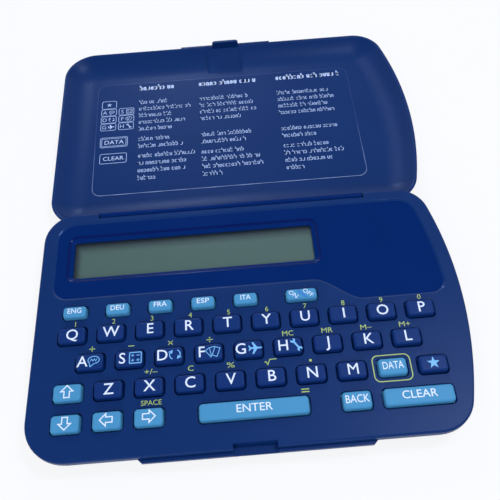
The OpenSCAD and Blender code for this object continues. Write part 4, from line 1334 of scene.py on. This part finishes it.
# %% Plain inner materials
# Black ABS is matt, so that it doesn't show beside the display. A drop of epoxy levels itself and shines.
# Silicone rubber is dull and pale. Rolled bronze has a soft gleam, blued steel is almost black, and zinc
# plating is cloudy.
black_abs = finish("black_abs", ("#1b1d20", "#24272b"), 3, (0.4, 0.5), IOR=ABS_IOR)
resin = finish("black_epoxy_drop", ("#0e0f11", "#17181b"), 2, (0.15, 0.28), IOR=1.55)
rubber = finish("silicone_rubber", ("#8a8f95", "#979ca2"), 4, (0.55, 0.65), IOR=1.41, Specular_IOR_Level=0.35)
bronze = finish("phosphor_bronze_strip", ("#b9a37a", "#c9b58c"), 1.5, (0.28, 0.38), Metallic=1.0)
dark_steel = finish("blued_steel", ("#22262c", "#2c3138"), 0.8, (0.35, 0.5), Metallic=1.0)
steel = finish("zinc_plated_steel", ("#9fa3a8", "#b6babf"), 0.8, (0.3, 0.45), Metallic=1.0)
print("materials so far:", len(bpy.data.materials))

# %% Connector, board and cell
STRIPE_MM = 0.2     # carbon layers are finer than this; drawn wide enough to show
WAVE_SCALE = 0.314  # a wave texture of this scale repeats once in a unit of length
zebra, zebra_shader, zebra_where = surface("striped_elastomer", Roughness=0.55)
stripes = add(zebra, "ShaderNodeTexWave", {"Vector": zebra_where, "Scale": WAVE_SCALE / (STRIPE_MM * MM)})
layers = add(zebra, "ShaderNodeMix", {"Factor": stripes.outputs["Fac"], MIX_A: "#26201f", MIX_B: "#d79aa2"},
             data_type="RGBA")
plug(zebra, zebra_shader, {"Base Color": layers})

TRACE_MM = 1.3      # from one copper track to the next; the gaps of a cell pattern stand for them
TRACE_H = 0.035     # thickness of the copper
board, board_shader, board_where = surface("lacquered_fibreglass_board", IOR=1.5, Roughness=0.35)
tracks = add(board, "ShaderNodeTexVoronoi", {"Vector": board_where, "Scale": 1 / (TRACE_MM * MM),
                                             "Randomness": 0.35}, feature="DISTANCE_TO_EDGE")
lines = add(board, "ShaderNodeMapRange", {"Value": tracks, "From Min": 0.04, "From Max": 0.1, "To Min": 1,
                                          "To Max": 0})
lacquer = add(board, "ShaderNodeMix", {"Factor": lines, MIX_A: "#1f5a30", MIX_B: "#2f7a44"}, data_type="RGBA")
relief = add(board, "ShaderNodeBump", {"Height": lines, "Distance": TRACE_H * MM, "Strength": 0.6})
plug(board, board_shader, {"Base Color": lacquer, "Normal": relief})

BRUSH_MM = 0.12
BRUSH_LENGTH = 18   # how much longer than wide the marks of the brush are
cell_steel, cell_shader, cell_where = surface("brushed_nickel_cell", Metallic=1.0)
drawn = add(cell_steel, "ShaderNodeMapping", {"Vector": cell_where, "Scale": (1, BRUSH_LENGTH, 1)})
brush = add(cell_steel, "ShaderNodeTexNoise", {"Vector": drawn, "Scale": 1 / (BRUSH_MM * BRUSH_LENGTH * MM),
                                               "Detail": 1.0})
plug(cell_steel, cell_shader, {
    "Base Color": add(cell_steel, "ShaderNodeMix", {"Factor": brush, MIX_A: "#a9abad", MIX_B: "#c2c4c6"},
                      data_type="RGBA"),
    "Roughness": add(cell_steel, "ShaderNodeMapRange", {"Value": brush, "To Min": 0.22, "To Max": 0.4}),
})
print("materials in all:", len(bpy.data.materials))

# %% [markdown]
# ## Parts that stay as they are
# The bottom shell, the battery door and everything inside have the right shape already. They get
# their material, and two modifiers that weld the loose triangles and shade the curves smooth without
# touching the mesh.

# %% Dress the frame's own parts
FINISHES = {
    "bottom_case": case_abs, "battery_door": case_abs, "display_window": acrylic, "lcd_panel": glass,
    "lcd_frame": black_abs, "elastomer_connector": zebra, "circuit_board": board, "processor_chip": resin,
    "memory_chip": resin, "clock_crystal": steel, "keypad_mat": rubber, "battery": cell_steel,
    "battery_plus_contact": bronze, "battery_minus_contact": bronze, "case_screws": steel,
    "hinge_pins": dark_steel, "top_case": case_abs, "lid": case_abs, "guide_label": film_mat,
}
WELD_MM = 0.002
for name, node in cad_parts.items():
    coat = FINISHES.get(name) or (blue_coat if name.removeprefix("key_") in BLUE_KEYS else navy_coat)
    node.data.materials.clear()
    node.data.materials.append(coat)
    if node.hide_render:
        continue
    node.data.polygons.foreach_set("use_smooth", [True] * len(node.data.polygons))
    weld = node.modifiers.new("weld", "WELD")
    weld.merge_threshold = WELD_MM * MM
    split = node.modifiers.new("crisp_edges", "EDGE_SPLIT")
    split.split_angle = CRISP
print("dressed", len(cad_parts), "parts of the frame")

# %% [markdown]
# ## Light and floor
# The key light stands to the right, where the matt face mirrors it as a broad sheen towards the camera. A
# weak light high at the back draws the rims and a low one there catches the panel's corner. A large
# fill in front opens the shadows; it isn't mirrored, or every front edge would shine. All four have the
# slight blue of daylight, and the room around them is a soft grey. Floor and backdrop are white to the
# camera and in reflections near the horizon, so they stay bright with little light, and the floor still
# takes the object's shadow.

# %% Lights
ROOM_STRENGTH = 0.48
BACKDROP_TOP = (0.35, 0.55)     # sine of the height at which the white backdrop starts and ends to fade


def softbox(name, at, target, size, power, mirrored=True):
    """Square soft light that points at a target; places in millimetres. Mirrored: seen in reflections."""
    lamp = bpy.data.lights.new(name, "AREA")
    lamp.shape = "SQUARE"
    lamp.size = size * MM
    lamp.energy = power
    lamp.color = linear(DAYLIGHT)[:3]
    holder = in_scene(name, lamp)
    holder.visible_glossy = mirrored
    holder.location = Vector(at) * MM
    holder.rotation_euler = (Vector(target) - Vector(at)).to_track_quat("-Z", "Y").to_euler()


softbox("key_light", (210, 70, 480), (20, 10, 0), 100, 1.1)
softbox("back_light", (-20, 420, 340), (0, 60, 0), 180, 0.2)
softbox("low_light", (-60, 500, 260), (20, 0, 0), 60, 0.5)
softbox("front_fill", (-140, -380, 300), (0, 20, 0), 300, 1.2, mirrored=False)
world = bpy.data.worlds.new("room")
bpy.context.scene.world = world
world.use_nodes = True
room_light = world.node_tree.nodes["Background"]
plug(world, room_light, {"Color": "#e9f0fb", "Strength": ROOM_STRENGTH})
backdrop = add(world, "ShaderNodeBackground", {"Color": "#ffffff", "Strength": 1.0})
eye = add(world, "ShaderNodeLightPath").outputs
way = add(world, "ShaderNodeTexCoord").outputs["Generated"]
height = add(world, "ShaderNodeSeparateXYZ", {"Vector": way}).outputs["Z"]
low = add(world, "ShaderNodeMapRange", {"Value": height, "From Min": BACKDROP_TOP[0],
                                        "From Max": BACKDROP_TOP[1], "To Min": 1, "To Max": 0})
bounced = add(world, "ShaderNodeMath", {0: eye["Is Glossy Ray"], 1: eye["Is Transmission Ray"]},
              operation="MAXIMUM")
bounced_low = add(world, "ShaderNodeMath", {0: bounced, 1: low}, operation="MULTIPLY")
white = add(world, "ShaderNodeMath", {0: eye["Is Camera Ray"], 1: bounced_low}, operation="MAXIMUM")
shown = add(world, "ShaderNodeMixShader", {0: white, 1: room_light, 2: backdrop})
plug(world, world.node_tree.nodes["World Output"], {"Surface": shown})
print("lights:", len(bpy.data.lights))

# %% Floor
FLOOR_GAP_MM = 0.02
FLOOR_GLOW = 0.85   # share of the floor that the camera sees as plain white
FLOOR_HALF_M = 1.5
PAPER_MM = 40       # slow drift of the paper's tone
paper = finish("white_paper", ("#f8f6f2", "#fbf9f6"), PAPER_MM, Roughness=0.9)
glow = add(paper, "ShaderNodeEmission", {"Color": "#ffffff", "Strength": 1.0})
rays = add(paper, "ShaderNodeLightPath").outputs
bounced = add(paper, "ShaderNodeMath", {0: rays["Is Glossy Ray"], 1: rays["Is Transmission Ray"]},
              operation="MAXIMUM")
seen = add(paper, "ShaderNodeMath", {0: rays["Is Camera Ray"], 1: bounced}, operation="MAXIMUM")
share = add(paper, "ShaderNodeMath", {0: seen, 1: FLOOR_GLOW}, operation="MULTIPLY")
both = add(paper, "ShaderNodeMixShader", {0: share, 1: paper.node_tree.nodes["Principled BSDF"], 2: glow})
plug(paper, paper.node_tree.nodes["Material Output"], {"Surface": both})

sheet = bmesh.new()
bmesh.ops.create_grid(sheet, x_segments=1, y_segments=1, size=FLOOR_HALF_M)
floor = in_scene("floor", as_mesh(sheet, "floor"))
floor.data.materials.append(paper)
floor.location.z = -FLOOR_GAP_MM * MM
print("floor:", 2 * FLOOR_HALF_M, "m wide")
